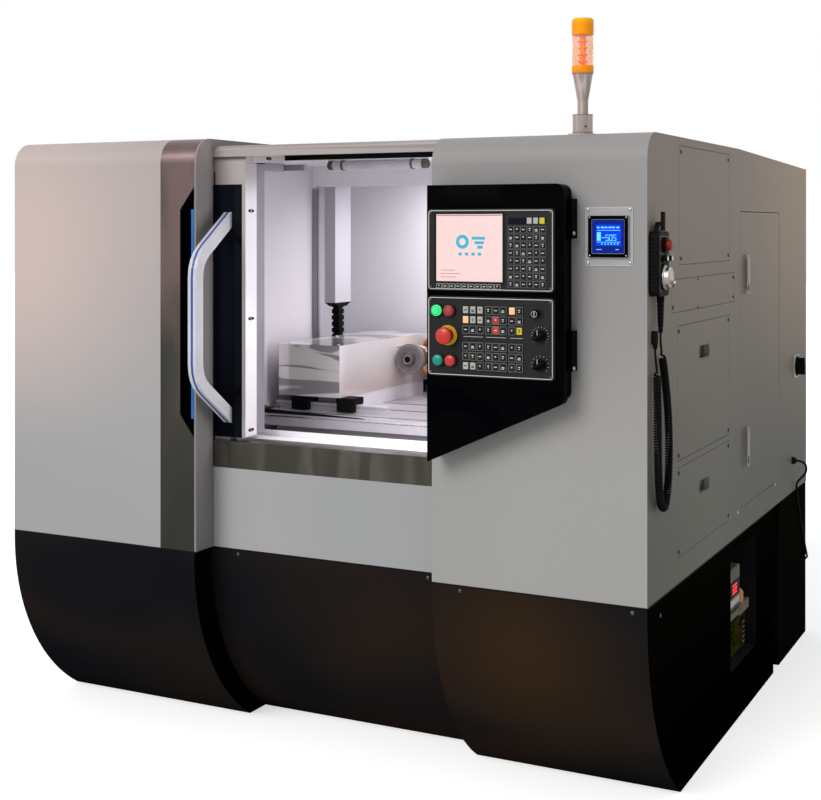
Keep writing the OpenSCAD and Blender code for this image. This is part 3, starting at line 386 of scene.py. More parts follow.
# Painted shade on the right side, soft painted reflections, and a brown painted reflection low on
# the front.
base_paint = finish("base_paint", (0.0068, 0.0072, 0.0100), (0.0090, 0.0094, 0.0110),
                    (0.22, 0.36), dent=0.06, broad=1.4, dusty=0.02,
                    flank_light_tones=(0.1, 0.6, (0.0006, 0.0006, 0.0005), (0.0028, 0.0029, 0.0021)),
                    reflections=((1.1, 1.1, 2.6), 0.8, (0.020, 0.014, 0.011)),
                    warm_light_spot=((0.62, -0.90, 0.33), 0.34, (0.036, 0.020, 0.010)),
                    Specular_IOR_Level=0.0)
# Painted light on the faces turned to +X, a little lighter with height.
rear_base_paint = finish("rear_base_paint", (0.0030, 0.0032, 0.0026), (0.0040, 0.0042, 0.0032),
                         (0.3, 0.45), dent=0.08, broad=2.2,
                         flank_light_tones=(0.1, 0.5, (0.0040, 0.0050, 0.0040), (0.0052, 0.0054, 0.0036)),
                         Specular_IOR_Level=0.0)
print("enclosure paints", len(bpy.data.materials))

# %% [markdown]
# ### Chamber, panel and glass
# The chamber is lined with white sheet, with a painted shade on its faces
# turned to +X, and the panel box is a deep gloss black with painted
# reflections. Dark glass is kept opaque with a low gloss, because nothing shows
# through the real one either; its reflections are painted as soft patches.
# %% Chamber paint, panel gloss and dark glass
# Painted shade on the faces turned to +X, darker towards the top.
chamber_paint = finish("chamber_paint", (0.70, 0.675, 0.72), (0.64, 0.63, 0.675),
                       (0.24, 0.34), dent=0.03, broad=1.6,
                       flank_light_tones=(0.90, 1.50, (0.62, 0.585, 0.63), (0.47, 0.45, 0.49)),
                       Specular_IOR_Level=0.3)
# Painted reflections: lighter near the top and in soft patches.
panel_gloss = finish("panel_gloss", (0.0004, 0.0006, 0.0012), (0.0008, 0.0010, 0.0016),
                     (0.05, 0.10), dent=0.01, broad=3.0,
                     light_by_height=(1.38, 1.47, (0.0040, 0.0034, 0.0036)),
                     reflections=((3, 3, 5), 1.8, (0.0014, 0.0016, 0.0020)), crisp=0.05,
                     Specular_IOR_Level=0.008)
# Painted reflections in soft patches.
dark_glass = finish("dark_glass", (0.0022, 0.0028, 0.0048), (0.0040, 0.0048, 0.0078),
                    (0.03, 0.07), dent=0.005, broad=2.5,
                    reflections=((9, 9, 1.0), 0.6, (0.0065, 0.0080, 0.0150)), crisp=0.1,
                    Specular_IOR_Level=0.06)
unit_face = finish("unit_face", (0.0098, 0.0112, 0.0108), (0.0130, 0.0145, 0.0138),
                   (0.32, 0.45), grain=2500.0, dent=0.15, Specular_IOR_Level=0.18)
print("finishes so far", len(bpy.data.materials))

# %% [markdown]
# ### Plastics, rubber and ink
# Moulded black parts have a visible grain and hardly any gloss. Printed lines
# and letters are one white ink, a little uneven as silk-screen ink is.
# %% Plastics, rubber and ink
black_plastic = finish("black_plastic", (0.0040, 0.0040, 0.0045), (0.0065, 0.0065, 0.0065),
                       (0.42, 0.56), grain=2000.0, dent=0.2, broad=12.0,
                       Specular_IOR_Level=0.03)
rubber = finish("rubber", (0.0050, 0.0050, 0.0050), (0.0090, 0.0085, 0.0080), (0.6, 0.8),
                grain=1500.0, dent=0.3, broad=20.0, Specular_IOR_Level=0.06)
pale_plastic = finish("pale_plastic", (0.50, 0.50, 0.47), (0.45, 0.45, 0.43),
                      (0.35, 0.5), grain=1500.0, dent=0.15, broad=9.0)
white_ink = finish("white_ink", (0.62, 0.62, 0.60), (0.52, 0.52, 0.51), (0.45, 0.6))
print("finishes so far", len(bpy.data.materials))

# %% Key and button colours
key_face = finish("key_face", (0.008, 0.009, 0.010), (0.013, 0.013, 0.014),
                  (0.25, 0.4), grain=2500.0, dent=0.1, broad=30.0,
                  Specular_IOR_Level=0.12)
key_edge = finish("key_edge", (0.20, 0.20, 0.19), (0.15, 0.15, 0.15), (0.35, 0.5))
key_line = finish("key_line", (0.24, 0.24, 0.23), (0.17, 0.17, 0.165), (0.4, 0.55))
pale_key = finish("pale_key", (0.47, 0.46, 0.42), (0.38, 0.37, 0.34), (0.35, 0.5))
yellow_key = finish("yellow_key", (0.72, 0.55, 0.02), (0.62, 0.46, 0.02), (0.3, 0.45))
red_plastic = finish("red_plastic", (0.62, 0.030, 0.015), (0.50, 0.020, 0.012),
                     (0.18, 0.3), broad=20.0)
pendant_red = finish("pendant_red", (0.30, 0.014, 0.012), (0.22, 0.010, 0.010), (0.3, 0.45),
                     broad=40.0, dent=0.02, Specular_IOR_Level=0.25)
yellow_plastic = finish("yellow_plastic", (0.70, 0.42, 0.010), (0.60, 0.34, 0.008),
                        (0.2, 0.34), broad=20.0)
teal_plastic = finish("teal_plastic", (0.0, 0.22, 0.17), (0.0, 0.28, 0.22),
                      (0.15, 0.28), broad=20.0)
print("finishes so far", len(bpy.data.materials))

# %% [markdown]
# ### Coats of single parts
# A few parts have a finish of their own: the orange chuck ring, the pearly
# stand of the signal lamp, the meter's plate and the grey pump.
# %% Chuck, stand, meter plate and pump
orange_coat = finish("orange_coat", (0.62, 0.22, 0.05), (0.48, 0.15, 0.03),
                     (0.28, 0.45), broad=9.0)
# Painted highlights: narrow upright streaks of a lighter tone.
stand_plastic = finish("stand_plastic", (0.66, 0.56, 0.53), (0.56, 0.47, 0.45),
                       (0.18, 0.30), broad=18.0, dent=0.02,
                       reflections=((70, 70, 1.5), 0.5, (0.38, 0.31, 0.28)), crisp=0.10)
meter_plate = finish("meter_plate", (0.40, 0.40, 0.395), (0.36, 0.36, 0.36), (0.10, 0.18),
                     broad=9.0, dent=0.02, Specular_IOR_Level=0.4)
lube_paint = finish("lube_paint", (0.150, 0.150, 0.118), (0.115, 0.115, 0.088), (0.5, 0.65),
                    grain=1400.0, dent=0.10, broad=9.0, Specular_IOR_Level=0.05)
print("finishes so far", len(bpy.data.materials))

# %% Paint of folds, lips and ducts
# The white of the gutter's lip; laid on the sill's top, the same white is a painted reflection of
# the chamber.
lip_and_reflection_white = finish("lip_and_reflection_white", (0.95, 0.90, 0.94), (0.88, 0.84, 0.88), (0.22, 0.34),
                   broad=5.0, dent=0.02)
# Painted reflections: soft streaks of a darker tone.
header_paint = finish("header_paint", (0.42, 0.365, 0.355), (0.37, 0.325, 0.315), (0.30, 0.42),
                      broad=2.0, dent=0.02, reflections=((1.2, 2.0, 70), 0.5, (0.30, 0.265, 0.26)),
                      crisp=0.15)
duct_paint = finish("duct_paint", (0.52, 0.495, 0.545), (0.46, 0.435, 0.485), (0.28, 0.40),
                    broad=3.0, dent=0.03)
# A darker grey that stands in for shade behind the door's end, under its hood and at the chamber's
# corner.
shaded_grey_paint = finish("shaded_grey_paint", (0.27, 0.245, 0.285), (0.22, 0.20, 0.235), (0.28, 0.40),
                    broad=4.0, dent=0.03)
pull_plastic = finish("pull_plastic", (0.17, 0.17, 0.145), (0.13, 0.13, 0.115), (0.4, 0.55),
                      broad=20.0, dent=0.05)
print("finishes so far", len(bpy.data.materials))

# %% [markdown]
# ### Metals
# The band and the sill are brushed and polished, the wheelhead's cover is
# nearly a mirror, and the table is ground. The large sheets keep some base
# colour under the metal, so that they read as steel even in a plain room, and
# their reflections are painted into that colour.
# %% Large metal parts
METAL = {"Metallic": 1.0}
# Painted reflections: warmer and lighter towards the top, and soft patches.
polished_band = finish("polished_band", (0.0225, 0.0270, 0.0200), (0.034, 0.037, 0.030),
                       (0.24, 0.36), broad=1.6, dent=0.006, brushed=(900, 900, 6),
                       light_by_height=(0.52, 1.30, (0.165, 0.112, 0.108)),
                       reflections=((5, 3, 1.1), 1.2, (0.046, 0.049, 0.039)), Metallic=0.8)
# Painted reflections: soft streaks of a lighter tone.
sill_steel = finish("sill_steel", (0.055, 0.051, 0.038), (0.074, 0.069, 0.056),
                    (0.20, 0.30), broad=1.7, dent=0.004, brushed=(6, 900, 900),
                    reflections=((9, 4, 2.0), 0.9, (0.120, 0.112, 0.096)), crisp=0.10, Metallic=0.8)
# Painted reflections: bright bands, and lighter tones on the faces turned to +X.
mirror_steel = finish("mirror_steel", (0.24, 0.24, 0.27), (0.34, 0.33, 0.36),
                      (0.07, 0.12), broad=2.4, dent=0.006,
                      reflections=((3.4, 2.2, 20), 1.3, (0.84, 0.78, 0.78)), crisp=0.04,
                      flank_light_tones=(0.88, 1.03, (0.60, 0.51, 0.505), (0.72, 0.69, 0.71)), Metallic=0.3)
# Painted reflections in soft bands, and a painted highlight on the top face.
ground_steel = finish("ground_steel", (0.46, 0.44, 0.49), (0.42, 0.40, 0.45),
                      (0.30, 0.34), grain=90.0, broad=2.0, dent=0.0,
                      reflections=((1.2, 5, 3), 0.4, (0.56, 0.52, 0.56)),
                      light_by_height=(0.853, 0.858, (0.72, 0.66, 0.70)), Metallic=0.2)
print("finishes so far", len(bpy.data.materials))

# %% Small metal parts and the wheel
satin_metal = finish("satin_metal", (0.60, 0.57, 0.55), (0.48, 0.46, 0.45),
                     (0.2, 0.36), broad=16.0, dent=0.04, brushed=(700, 700, 10), **METAL)
screw_metal = finish("screw_metal", (0.10, 0.10, 0.10), (0.07, 0.07, 0.07),
                     (0.3, 0.45), broad=60.0, **METAL)
bright_screw = finish("bright_screw", (0.55, 0.54, 0.52), (0.42, 0.41, 0.40),
                      (0.2, 0.35), broad=60.0, **METAL)
abrasive = finish("abrasive", (0.125, 0.108, 0.114), (0.155, 0.138, 0.142),
                  (0.55, 0.8), grain=1600.0, dent=0.6, broad=60.0)
latch_metal = finish("latch_metal", (0.36, 0.335, 0.30), (0.30, 0.28, 0.25), (0.25, 0.4),
                     broad=14.0, dent=0.03, brushed=(700, 700, 10), Metallic=0.3)
dial_gold = finish("dial_gold", (0.62, 0.50, 0.34), (0.52, 0.41, 0.27), (0.22, 0.36),
                   broad=40.0, dent=0.03, Metallic=0.5)
hub_steel = finish("hub_steel", (0.13, 0.105, 0.095), (0.075, 0.06, 0.055), (0.25, 0.4),
                   broad=60.0, dent=0.03, Metallic=0.5)
brass = finish("brass", (0.17, 0.105, 0.055), (0.11, 0.070, 0.038), (0.3, 0.45),
               broad=40.0, Metallic=0.6)
print("finishes so far", len(bpy.data.materials))

# %% [markdown]
# ### Lit and see-through finishes
# A lit lens, a screen and the lamp tube give off a little light of their own.
# The signal lamp's middle is clear amber plastic, so it lets light through.
# %% Lit finishes


def lit(name, tone, other, strength, rough=(0.2, 0.35), **more):
    """A finish that also glows in its first tone."""
    return finish(name, tone, other, rough, broad=30.0, Emission_Color=(*tone, 1),
                  Emission_Strength=strength, **more)


lamp_glow = lit("lamp_glow", (0.36, 0.34, 0.37), (0.30, 0.28, 0.31), 0.05)
screen_glow = lit("screen_glow", (0.86, 0.58, 0.56), (0.82, 0.60, 0.60), 0.22)
screen_teal = lit("screen_teal", (0.02, 0.38, 0.52), (0.02, 0.34, 0.48), 0.35)
screen_grey = lit("screen_grey", (0.40, 0.26, 0.24), (0.36, 0.24, 0.22), 0.2)
green_lamp = lit("green_lamp", (0.02, 0.80, 0.22), (0.01, 0.62, 0.14), 0.75)
orange_lamp = lit("orange_lamp", (0.95, 0.45, 0.22), (0.80, 0.36, 0.15), 0.45)
red_lamp = lit("red_lamp", (0.42, 0.03, 0.03), (0.34, 0.02, 0.02), 0.15)
meter_blue = lit("meter_blue", (0.0, 0.012, 0.20), (0.0, 0.016, 0.24), 0.25,
                 Specular_IOR_Level=0.1)
lcd_blue = lit("lcd_blue", (0.0, 0.040, 0.72), (0.0, 0.050, 0.80), 0.35,
               Specular_IOR_Level=0.1)
meter_cyan = lit("meter_cyan", (0.10, 0.55, 0.95), (0.16, 0.60, 0.95), 0.6)
red_digit = lit("red_digit", (0.95, 0.03, 0.04), (0.85, 0.02, 0.03), 0.9)
print("lit finishes done", len(bpy.data.materials))

# %% Amber, smoke and film
# Painted highlight: lighter towards the top of the lens.
amber_solid = finish("amber_solid", (1.0, 0.34, 0.002), (0.90, 0.27, 0.002),
                     (0.15, 0.3), broad=20.0, light_by_height=(1.850, 1.868, (1.0, 0.50, 0.01)),
                     Emission_Color=(1.0, 0.30, 0.0, 1), Emission_Strength=0.10,
                     Specular_IOR_Level=0.15)
amber_clear = finish("amber_clear", (1.0, 0.80, 0.68), (1.0, 0.72, 0.58), (0.05, 0.12),
                     broad=25.0, dent=0.01, Transmission_Weight=0.9, IOR=1.12)
# Painted glints: small patches of a yellowish tone.
smoke_clear = finish("smoke_clear", (0.014, 0.012, 0.003), (0.008, 0.007, 0.002),
                     (0.35, 0.5), broad=25.0, reflections=((30, 30, 45), 1.4, (0.030, 0.027, 0.006)),
                     crisp=0.06, Specular_IOR_Level=0.0)
blue_film = finish("blue_film", (0.004, 0.12, 0.42), (0.006, 0.16, 0.50), (0.2, 0.35),
                   broad=15.0)
print("finishes so far", len(bpy.data.materials))

# %% [markdown]
# ### The door handle's film
# The handle is a white bar with a thin blue line along the middle of its width.
# The line is found from the distance to the bar's middle plane, so it follows
# the bend by itself.
# %% Film with a blue line
LINE_HALF_WIDTH = 0.0036
LINE_BLUE = (0.03, 0.09, 0.36)


def middle_of(name):
    """The middle of a node's box."""
    low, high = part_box(name)
    return Vector([(a + b) / 2 for a, b in zip(low, high)])


handle_film = finish("handle_film", (0.66, 0.66, 0.70), (0.60, 0.58, 0.63), (0.15, 0.28),
                     broad=14.0)
tree = handle_film.node_tree
across = one_axis(tree, tree.nodes["Texture Coordinate"].outputs["Object"], "X")
offset = math_node(tree, "SUBTRACT", across, middle_of("door_handle").x)
line = math_node(tree, "LESS_THAN", math_node(tree, "ABSOLUTE", offset), LINE_HALF_WIDTH)
surface = tree.nodes["Principled BSDF"]
plain = surface.inputs["Base Color"].links[0].from_socket
tree.links.new(blend_colour(tree, line, plain, LINE_BLUE), surface.inputs["Base Color"])
print("blue line at x", round(middle_of("door_handle").x, 4))

# %% [markdown]
# ## Finishes on the frame's own parts
# Most parts of the frame keep their shape and only get a finish. One table of
# finishes and part names is easier to check than sixty separate lines.
# %% Finishes for the frame's own parts
NODE_FINISH = {
    grey_paint: ["left_housing", "apron", "door_frame"],
    side_paint: ["right_housing", "rear_housing", "upper_cover", "middle_cover",
                 "slot_covers", "cabinet_door"],
    hoop_paint: ["door_hoop", "bed"],
    base_paint: ["base_left", "base_center", "base_right"],
    rear_base_paint: ["base_rear"],
    polished_band: ["steel_band"],
    sill_steel: ["sill"],
    chamber_paint: ["chamber_liner", "head_saddle", "door_hangers"],
    duct_paint: ["cable_duct"],
    ground_steel: ["table"],
    hub_steel: ["wheel_spindle", "workhead"],
    mirror_steel: ["head_cover"],
    black_plastic: ["drag_chain", "head_carriages", "pendant_body", "pendant_axis_knob",
                    "pendant_step_knob", "feed_knob", "speed_knob", "isolator_knob", "key_switch",
                    "cable_glands"],
    abrasive: ["grinding_wheel"],
    orange_coat: ["chuck"],
    dark_glass: ["door_glass"],
    handle_film: ["door_handle"],
    panel_gloss: ["control_box"],
    unit_face: ["display_unit", "operator_panel"],
    screen_glow: ["screen"],
    red_plastic: ["estop_head", "off_button"],
    pendant_red: ["pendant_stop"],
    red_lamp: ["stop_button"],
    green_lamp: ["start_button"],
    teal_plastic: ["on_button"],
    satin_metal: ["pendant_dial"],
    stand_plastic: ["lamp_stand"],
    header_paint: ["header_rail"],
    meter_plate: ["panel_meter"],
    screw_metal: ["cover_screws"],
    pale_plastic: ["isolator_plate"],
}
for material, names in NODE_FINISH.items():
    for name in names:
        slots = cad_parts[name].data.materials
        slots.clear()
        slots.append(material)
print("frame parts with a finish", sum(len(n) for n in NODE_FINISH.values()))

# %% [markdown]
# ## Cords
# Two cords are shown from end to end. The hand pendant hangs on a black coiled
# cord, which falls in one long loop and returns to a clamp. The supply cable
# leaves the side through a gland, runs down to the rear corner and goes into
# the back of the base. Each stands for a plain solid of the frame, which keeps
# the model for collisions simple. The supply cable is thinner than its solid and
# follows it within a few centimetres.
# %% A smooth line through route points


def smooth_route(points, steps):
    """Catmull-Rom points through a route, in metres."""
    made = []
    for i in range(len(points) - 1):
        a, b = points[max(i - 1, 0)], points[i]
        c, d = points[i + 1], points[min(i + 2, len(points) - 1)]
        for k in range(steps):
            t = k / steps
            made.append(0.5 * (2 * b + (c - a) * t + (2 * a - 5 * b + 4 * c - d) * t * t
                               + (3 * b - a - 3 * c + d) * t * t * t))
    return made + [points[-1]]


print("routes are smoothed through their own points")

# %% A round curve and its length


def tube(name, line, diameter, material):
    """A round curve along a line of points."""
    curve = bpy.data.curves.new(name, "CURVE")
    curve.dimensions = "3D"
    curve.bevel_depth = diameter / 2
    curve.bevel_resolution = 2
    curve.use_fill_caps = True
    spline = curve.splines.new("POLY")
    spline.points.add(len(line) - 1)
    for point, place in zip(spline.points, line):
        point.co = (*place, 1)
    obj = bpy.data.objects.new(name, curve)
    bpy.context.scene.collection.objects.link(obj)
    curve.materials.append(material)
    return obj


def line_length(line):
    """Length of a line of points."""
    return sum((b - a).length for a, b in zip(line, line[1:]))


print("cord helpers: tube, line_length")

# %% [markdown]
# ### The pendant's coil
# The cord's wire is wound around the route like a spring. The turns could be
# drawn by a screw modifier, but only a loop along the route lets them follow the
# hanging loop. Near both ends the coil narrows to the straight wire, and the
# turns open up there, so that the wire is never bent too sharply.
# %% The route and the coil's sizes
CORD_ROUTE = [(942.4, -838.5, 1129.8), (942.4, -838.5, 1122), (942.4, -838.5, 1112),
              (942.6, -832, 1086), (944, -808, 1020), (946, -790, 930), (946, -784, 840),
              (946, -794, 765), (946, -820, 728), (946, -848, 740), (946, -864, 790),
              (946, -872, 870), (946, -873, 960), (943.5, -869, 1030), (939.5, -866, 1070),
              (938, -866, 1084), (938, -866, 1094)]
CORD_WIRE = 0.0052
COIL_RADIUS = 0.0072
TURN_PITCH = 0.0060
STEPS_PER_TURN = 12
STRAIGHT_END = 0.045
COIL_START = 0.020
STRAIGHT_STEP = 0.004
spine = smooth_route([Vector(p) / 1000 for p in CORD_ROUTE], 60)
spine_length = line_length(spine)
print("coil's route", round(spine_length, 3), "m")

# %% Wind the wire around the route
coil, walked, angle, next_at = [], 0.0, 0.0, 0.0
for a, b in zip(spine, spine[1:]):
    run = (b - a).length
    along = (b - a) / run
    outward = along.cross(Vector((1, 0.1, 0.05))).normalized()
    sideways = along.cross(outward)
    while next_at <= walked + run:
        from_end = min(next_at, spine_length - next_at)
        swell = min(max((from_end - STRAIGHT_END) / COIL_START, 0.0), 1.0)
        radius = COIL_RADIUS * swell * swell * (3 - 2 * swell)
        centre = a + along * (next_at - walked)
        coil.append(centre + radius * (math.cos(angle) * outward + math.sin(angle) * sideways))
        step = STRAIGHT_STEP
        if swell > 0:
            rise = max(TURN_PITCH / (2 * math.pi), math.sqrt(radius * (COIL_RADIUS - radius)))
            angle += 2 * math.pi / STEPS_PER_TURN
            step = rise * 2 * math.pi / STEPS_PER_TURN
        next_at += step
    walked += run
if (coil[-1] - spine[-1]).length < 0.0015:
    coil.pop()
coil.append(spine[-1])
pendant_coil = tube("pendant_coil", coil, CORD_WIRE, rubber)
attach(pendant_coil, "root")
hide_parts("pendant_cord")

# %% [markdown]
# ### The supply cable
# A plain round cable, thick enough to be stiff. Its bends stay about three
# diameters wide or more, also where it leaves the gland and rounds the corner.
# %% The supply cable
CABLE_WIDE = 0.007
CABLE_ROUTE = [(944.2, 675, 612), (950.5, 675, 612), (961, 675.5, 609.5),
               (969.5, 678.5, 602.5), (973, 682.5, 591), (969.5, 688, 572.5),
               (954, 697, 553.5), (941, 702.5, 538), (936.5, 710.5, 518.5), (935, 740, 465),
               (934.5, 790, 395), (933, 840, 330), (932.5, 870, 294), (932.5, 894, 265),
               (931, 909, 251), (919.5, 919.5, 238), (902, 928.5, 222), (883, 940.5, 208.5),
               (866, 953, 197), (846, 951.5, 181.5), (835.5, 940.5, 173.5), (831, 923.5, 172),
               (830, 916.2, 172)]
cable_line = smooth_route([Vector(p) / 1000 for p in CABLE_ROUTE], 6)
supply = tube("supply_line", cable_line, CABLE_WIDE, rubber)
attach(supply, "root")
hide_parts("supply_cable")
print("supply cable", round(line_length(cable_line), 2), "m")

# %% [markdown]
# ## Tools for making pieces
# Small parts are made as by hand: a primitive is added at its size, shaped in
# edit mode and finished with a bevel. These helpers hold the steps that every
# piece needs, so that each one ends with its place in its own mesh.
# %% Add, settle and modify


def add(kind, at=(0, 0, 0), **size):
    """Adds a primitive with nothing else selected, and returns it."""
    bpy.ops.object.select_all(action="DESELECT")
    getattr(bpy.ops.mesh, f"primitive_{kind}_add")(location=at, **size)
    return bpy.context.active_object


def settle(obj):
    """Moves the object's place, turn and scale into its mesh."""
    bpy.context.view_layer.objects.active = obj
    bpy.ops.object.transform_apply(location=True, rotation=True, scale=True)
    return obj


def modify(obj, kind, **values):
    """Adds a modifier, sets it and applies it."""
    bpy.context.view_layer.objects.active = obj
    modifier = obj.modifiers.new(kind.lower(), kind)
    for label, value in values.items():
        setattr(modifier, label, value)
    bpy.ops.object.modifier_apply(modifier=modifier.name)
    return obj


print("making helpers: add, settle, modify")

# %% Picking faces, and curves made mesh


def pick_faces(obj, wanted):
    """Enters edit mode with only the faces selected that pass a test."""
    bpy.ops.object.mode_set(mode="EDIT")
    bpy.ops.mesh.select_all(action="DESELECT")
    bpy.ops.object.mode_set(mode="OBJECT")
    for polygon in obj.data.polygons:
        polygon.select = wanted(polygon)
    bpy.ops.object.mode_set(mode="EDIT")


def as_mesh(curve):
    """Turns a curve into a mesh."""
    bpy.ops.object.select_all(action="DESELECT")
    curve.select_set(True)
    bpy.context.view_layer.objects.active = curve
    bpy.ops.object.convert(target="MESH")
    return curve


print("making helpers: pick_faces, as_mesh")

# %% [markdown]
# ### Blocks, turned shapes and rings
# Nearly all fittings are blocks, turned shapes or outlines. A turned shape is a
# circle that is extruded and scaled step by step, which keeps every diameter
# under control where a spun profile would leave a seam to merge.
# %% Blocks and their aim


def rounded(low, high, edge=0.0008, segments=2):
    """A block between two corners with rounded edges."""
    obj = add("cube", [(a + b) / 2 for a, b in zip(low, high)], size=1)
    obj.scale = [abs(b - a) for a, b in zip(low, high)]
    settle(obj)
    return modify(obj, "BEVEL", width=edge, segments=segments, limit_method="ANGLE")


def aim(obj, at, facing):
    """Turns a piece made along +Z towards a direction and puts it in place."""
    obj.rotation_euler = Vector(facing).to_track_quat("Z", "Y").to_euler()
    obj.location = at
    return settle(obj)


print("making helpers: rounded, aim")

# %% Turned shapes and bands
SMOOTH_ANGLE = math.radians(35)


def turned(at, facing, steps, sides=32, ring=False):
    """A turned shape: a circle drawn out through (radius, height) steps."""
    radius, height = steps[0]
    fill = "NOTHING" if ring else "NGON"
    obj = add("circle", vertices=sides, radius=radius, fill_type=fill)
    bpy.ops.object.mode_set(mode="EDIT")
    bpy.ops.transform.translate(value=(0, 0, height))
    for wide, high in steps[1:]:
        bpy.ops.mesh.extrude_region_move(
            TRANSFORM_OT_translate={"value": (0, 0, high - height)})
        bpy.ops.transform.resize(value=(wide / radius, wide / radius, 1))
        radius, height = wide, high
    bpy.ops.mesh.select_all(action="SELECT")
    if ring:
        bpy.ops.mesh.remove_doubles(threshold=0.00001)
    bpy.ops.mesh.normals_make_consistent(inside=False)
    bpy.ops.object.mode_set(mode="OBJECT")
    aim(obj, at, facing)
    bpy.ops.object.shade_smooth_by_angle(angle=SMOOTH_ANGLE)
    return obj


def band(at, facing, inner, outer, low, high, sides=48):
    """A flat ring with a square section."""
    return turned(at, facing, [(outer, low), (outer, high), (inner, high), (inner, low),
                               (outer, low)], sides, ring=True)


print("making helpers: turned, band")

# %% [markdown]
# ### Joining, copying and naming
# What repeats is modelled once. Every copy has its own mesh, and all copies are
# joined into one piece. Each finished piece then gets a name, a finish, the body
# that it rides and the slot of its material.
# %% Joining and copying


def join(parts):
    """Joins several new meshes into one."""
    bpy.ops.object.select_all(action="DESELECT")
    for part in parts:
        part.select_set(True)
    bpy.context.view_layer.objects.active = parts[0]
    if len(parts) > 1:
        bpy.ops.object.join()
    return parts[0]


def copies(obj, moves):
    """The piece at every move, a vector or a matrix, joined into one mesh."""
    made = []
    for move in moves:
        matrix = move if isinstance(move, Matrix) else Matrix.Translation(Vector(move))
        other = obj.copy()
        other.data = obj.data.copy()
        other.data.transform(matrix)
        bpy.context.scene.collection.objects.link(other)
        made.append(other)
    bpy.data.objects.remove(obj)
    return join(made)


print("making helpers: join, copies")

# %% Naming a piece
pieces_made = []


def piece(obj, name, material, body="root"):
    """Names a finished piece, gives it its finish and ties it to its body."""
    obj.name = name
    obj.data.name = name
    obj.data.materials.clear()
    obj.data.materials.append(material)
    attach(obj, body)
    pieces_made.append(name)
    print(name, "rides", body, "with", len(obj.data.polygons), "faces")
    return obj


print("a piece has a name, a finish, a slot and a body")

# %% [markdown]
# ### Rounded outlines
# Frames, rims and printed borders are all one shape: a rounded rectangle with a
# narrow edge. A plane's corners are bevelled, its face is inset and removed, and
# what is left is extruded to its depth.
# %% A rounded outline
CORNER_STEPS = 6


def plate_line(low, high, y, radius, line, depth):
    """A thin rounded outline between two (x, z) corners, standing proud of y."""
    width, tall = high[0] - low[0], high[1] - low[1]
    obj = add("plane", size=1)
    obj.scale = (width, tall, 1)
    obj.rotation_euler = (math.radians(90), 0, 0)
    obj.location = ((low[0] + high[0]) / 2, y, (low[1] + high[1]) / 2)
    settle(obj)
    bpy.ops.object.mode_set(mode="EDIT")
    bpy.ops.mesh.select_all(action="SELECT")
    bpy.ops.mesh.bevel(offset=radius, segments=CORNER_STEPS, affect="VERTICES")
    bpy.ops.mesh.select_all(action="SELECT")
    bpy.ops.mesh.inset(thickness=line, depth=0)
    bpy.ops.mesh.delete(type="FACE")
    bpy.ops.mesh.select_all(action="SELECT")
    bpy.ops.mesh.extrude_region_move(TRANSFORM_OT_translate={"value": (0, -depth, 0)})
    bpy.ops.mesh.select_all(action="SELECT")
    bpy.ops.mesh.normals_make_consistent(inside=False)
    bpy.ops.object.mode_set(mode="OBJECT")
    return obj


print("an outline's corner has", CORNER_STEPS, "steps")

# %% [markdown]
# ## Screws
# The sheets are held by button-head screws with a hexagon socket. One screw is
# turned from a circle, its socket is inset and pushed in, and every group of
# screws is copies of it.
# %% One screw, many places
SCREW_SIDES = 18


def screw(radius, height):
    """A button-head screw along +Z, standing on the origin."""
    obj = turned((0, 0, 0), (0, 0, 1), [(radius, 0), (radius, height * 0.35),
                                        (radius * 0.8, height * 0.85),
                                        (radius * 0.52, height)], SCREW_SIDES)
    pick_faces(obj, lambda polygon: polygon.center.z > height * 0.99)
    bpy.ops.mesh.inset(thickness=radius * 0.12, depth=0)
    bpy.ops.mesh.extrude_region_move(
        TRANSFORM_OT_translate={"value": (0, 0, -height * 0.6)})
    bpy.ops.object.mode_set(mode="OBJECT")
    return obj


def screws(name, places, facing, material, slot, body="root", **size):
    """A group of screws standing on a face, at the given places."""
    turn = Vector(facing).to_track_quat("Z", "Y").to_matrix().to_4x4()
    return piece(copies(screw(**size), [Matrix.Translation(Vector(p)) @ turn for p in places]),
                 name, material, body)


print("a screw head has", SCREW_SIDES, "sides")

# %% [markdown]
# ### Faces to measure from
# Every place below is worked out from the frame's own faces: the front of the
# housings, the set-back middle, the right side, the edges of the doorway and the
# top of the base.
# %% Reference faces
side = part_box("upper_cover")[1].x
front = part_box("left_housing")[0].y
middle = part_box("apron")[0].y
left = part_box("left_housing")[0].x
base_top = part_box("base_left")[1].z
hoop_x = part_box("steel_band")[1].x
jamb_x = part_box("base_right")[0].x
print("front", front, "middle", middle, "side", side)

# %% Screws of the base and the covers
BASE_SCREW = {"radius": 0.0050, "height": 0.002}
COVER_SCREW = {"radius": 0.0045, "height": 0.002}
BASE_SCREW_Z = base_top - 0.014
CABINET_PROUD = 0.009
screws("base_front_screws", [(x, front, BASE_SCREW_Z) for x in (jamb_x + 0.075, side - 0.035)]
       + [(x, middle, BASE_SCREW_Z) for x in (hoop_x + 0.085, jamb_x - 0.05)],
       (0, -1, 0), screw_metal, "black_plastic", **BASE_SCREW)
screws("base_side_screws", [(side, -0.80, base_top - 0.040)],
       (1, 0, 0), screw_metal, "black_plastic", **BASE_SCREW)
screws("middle_cover_screws", [(side, -0.472, 1.240), (side, -0.472, 1.169)],
       (1, 0, 0), screw_metal, "black_plastic", **COVER_SCREW)
screws("cabinet_lower_screws", [(side + CABINET_PROUD, 0.376, 0.583)],
       (1, 0, 0), bright_screw, "satin_metal", "cabinet", **COVER_SCREW)
screws("side_lower_screws", [(side, -0.060, 0.575)],
       (1, 0, 0), bright_screw, "satin_metal", **COVER_SCREW)

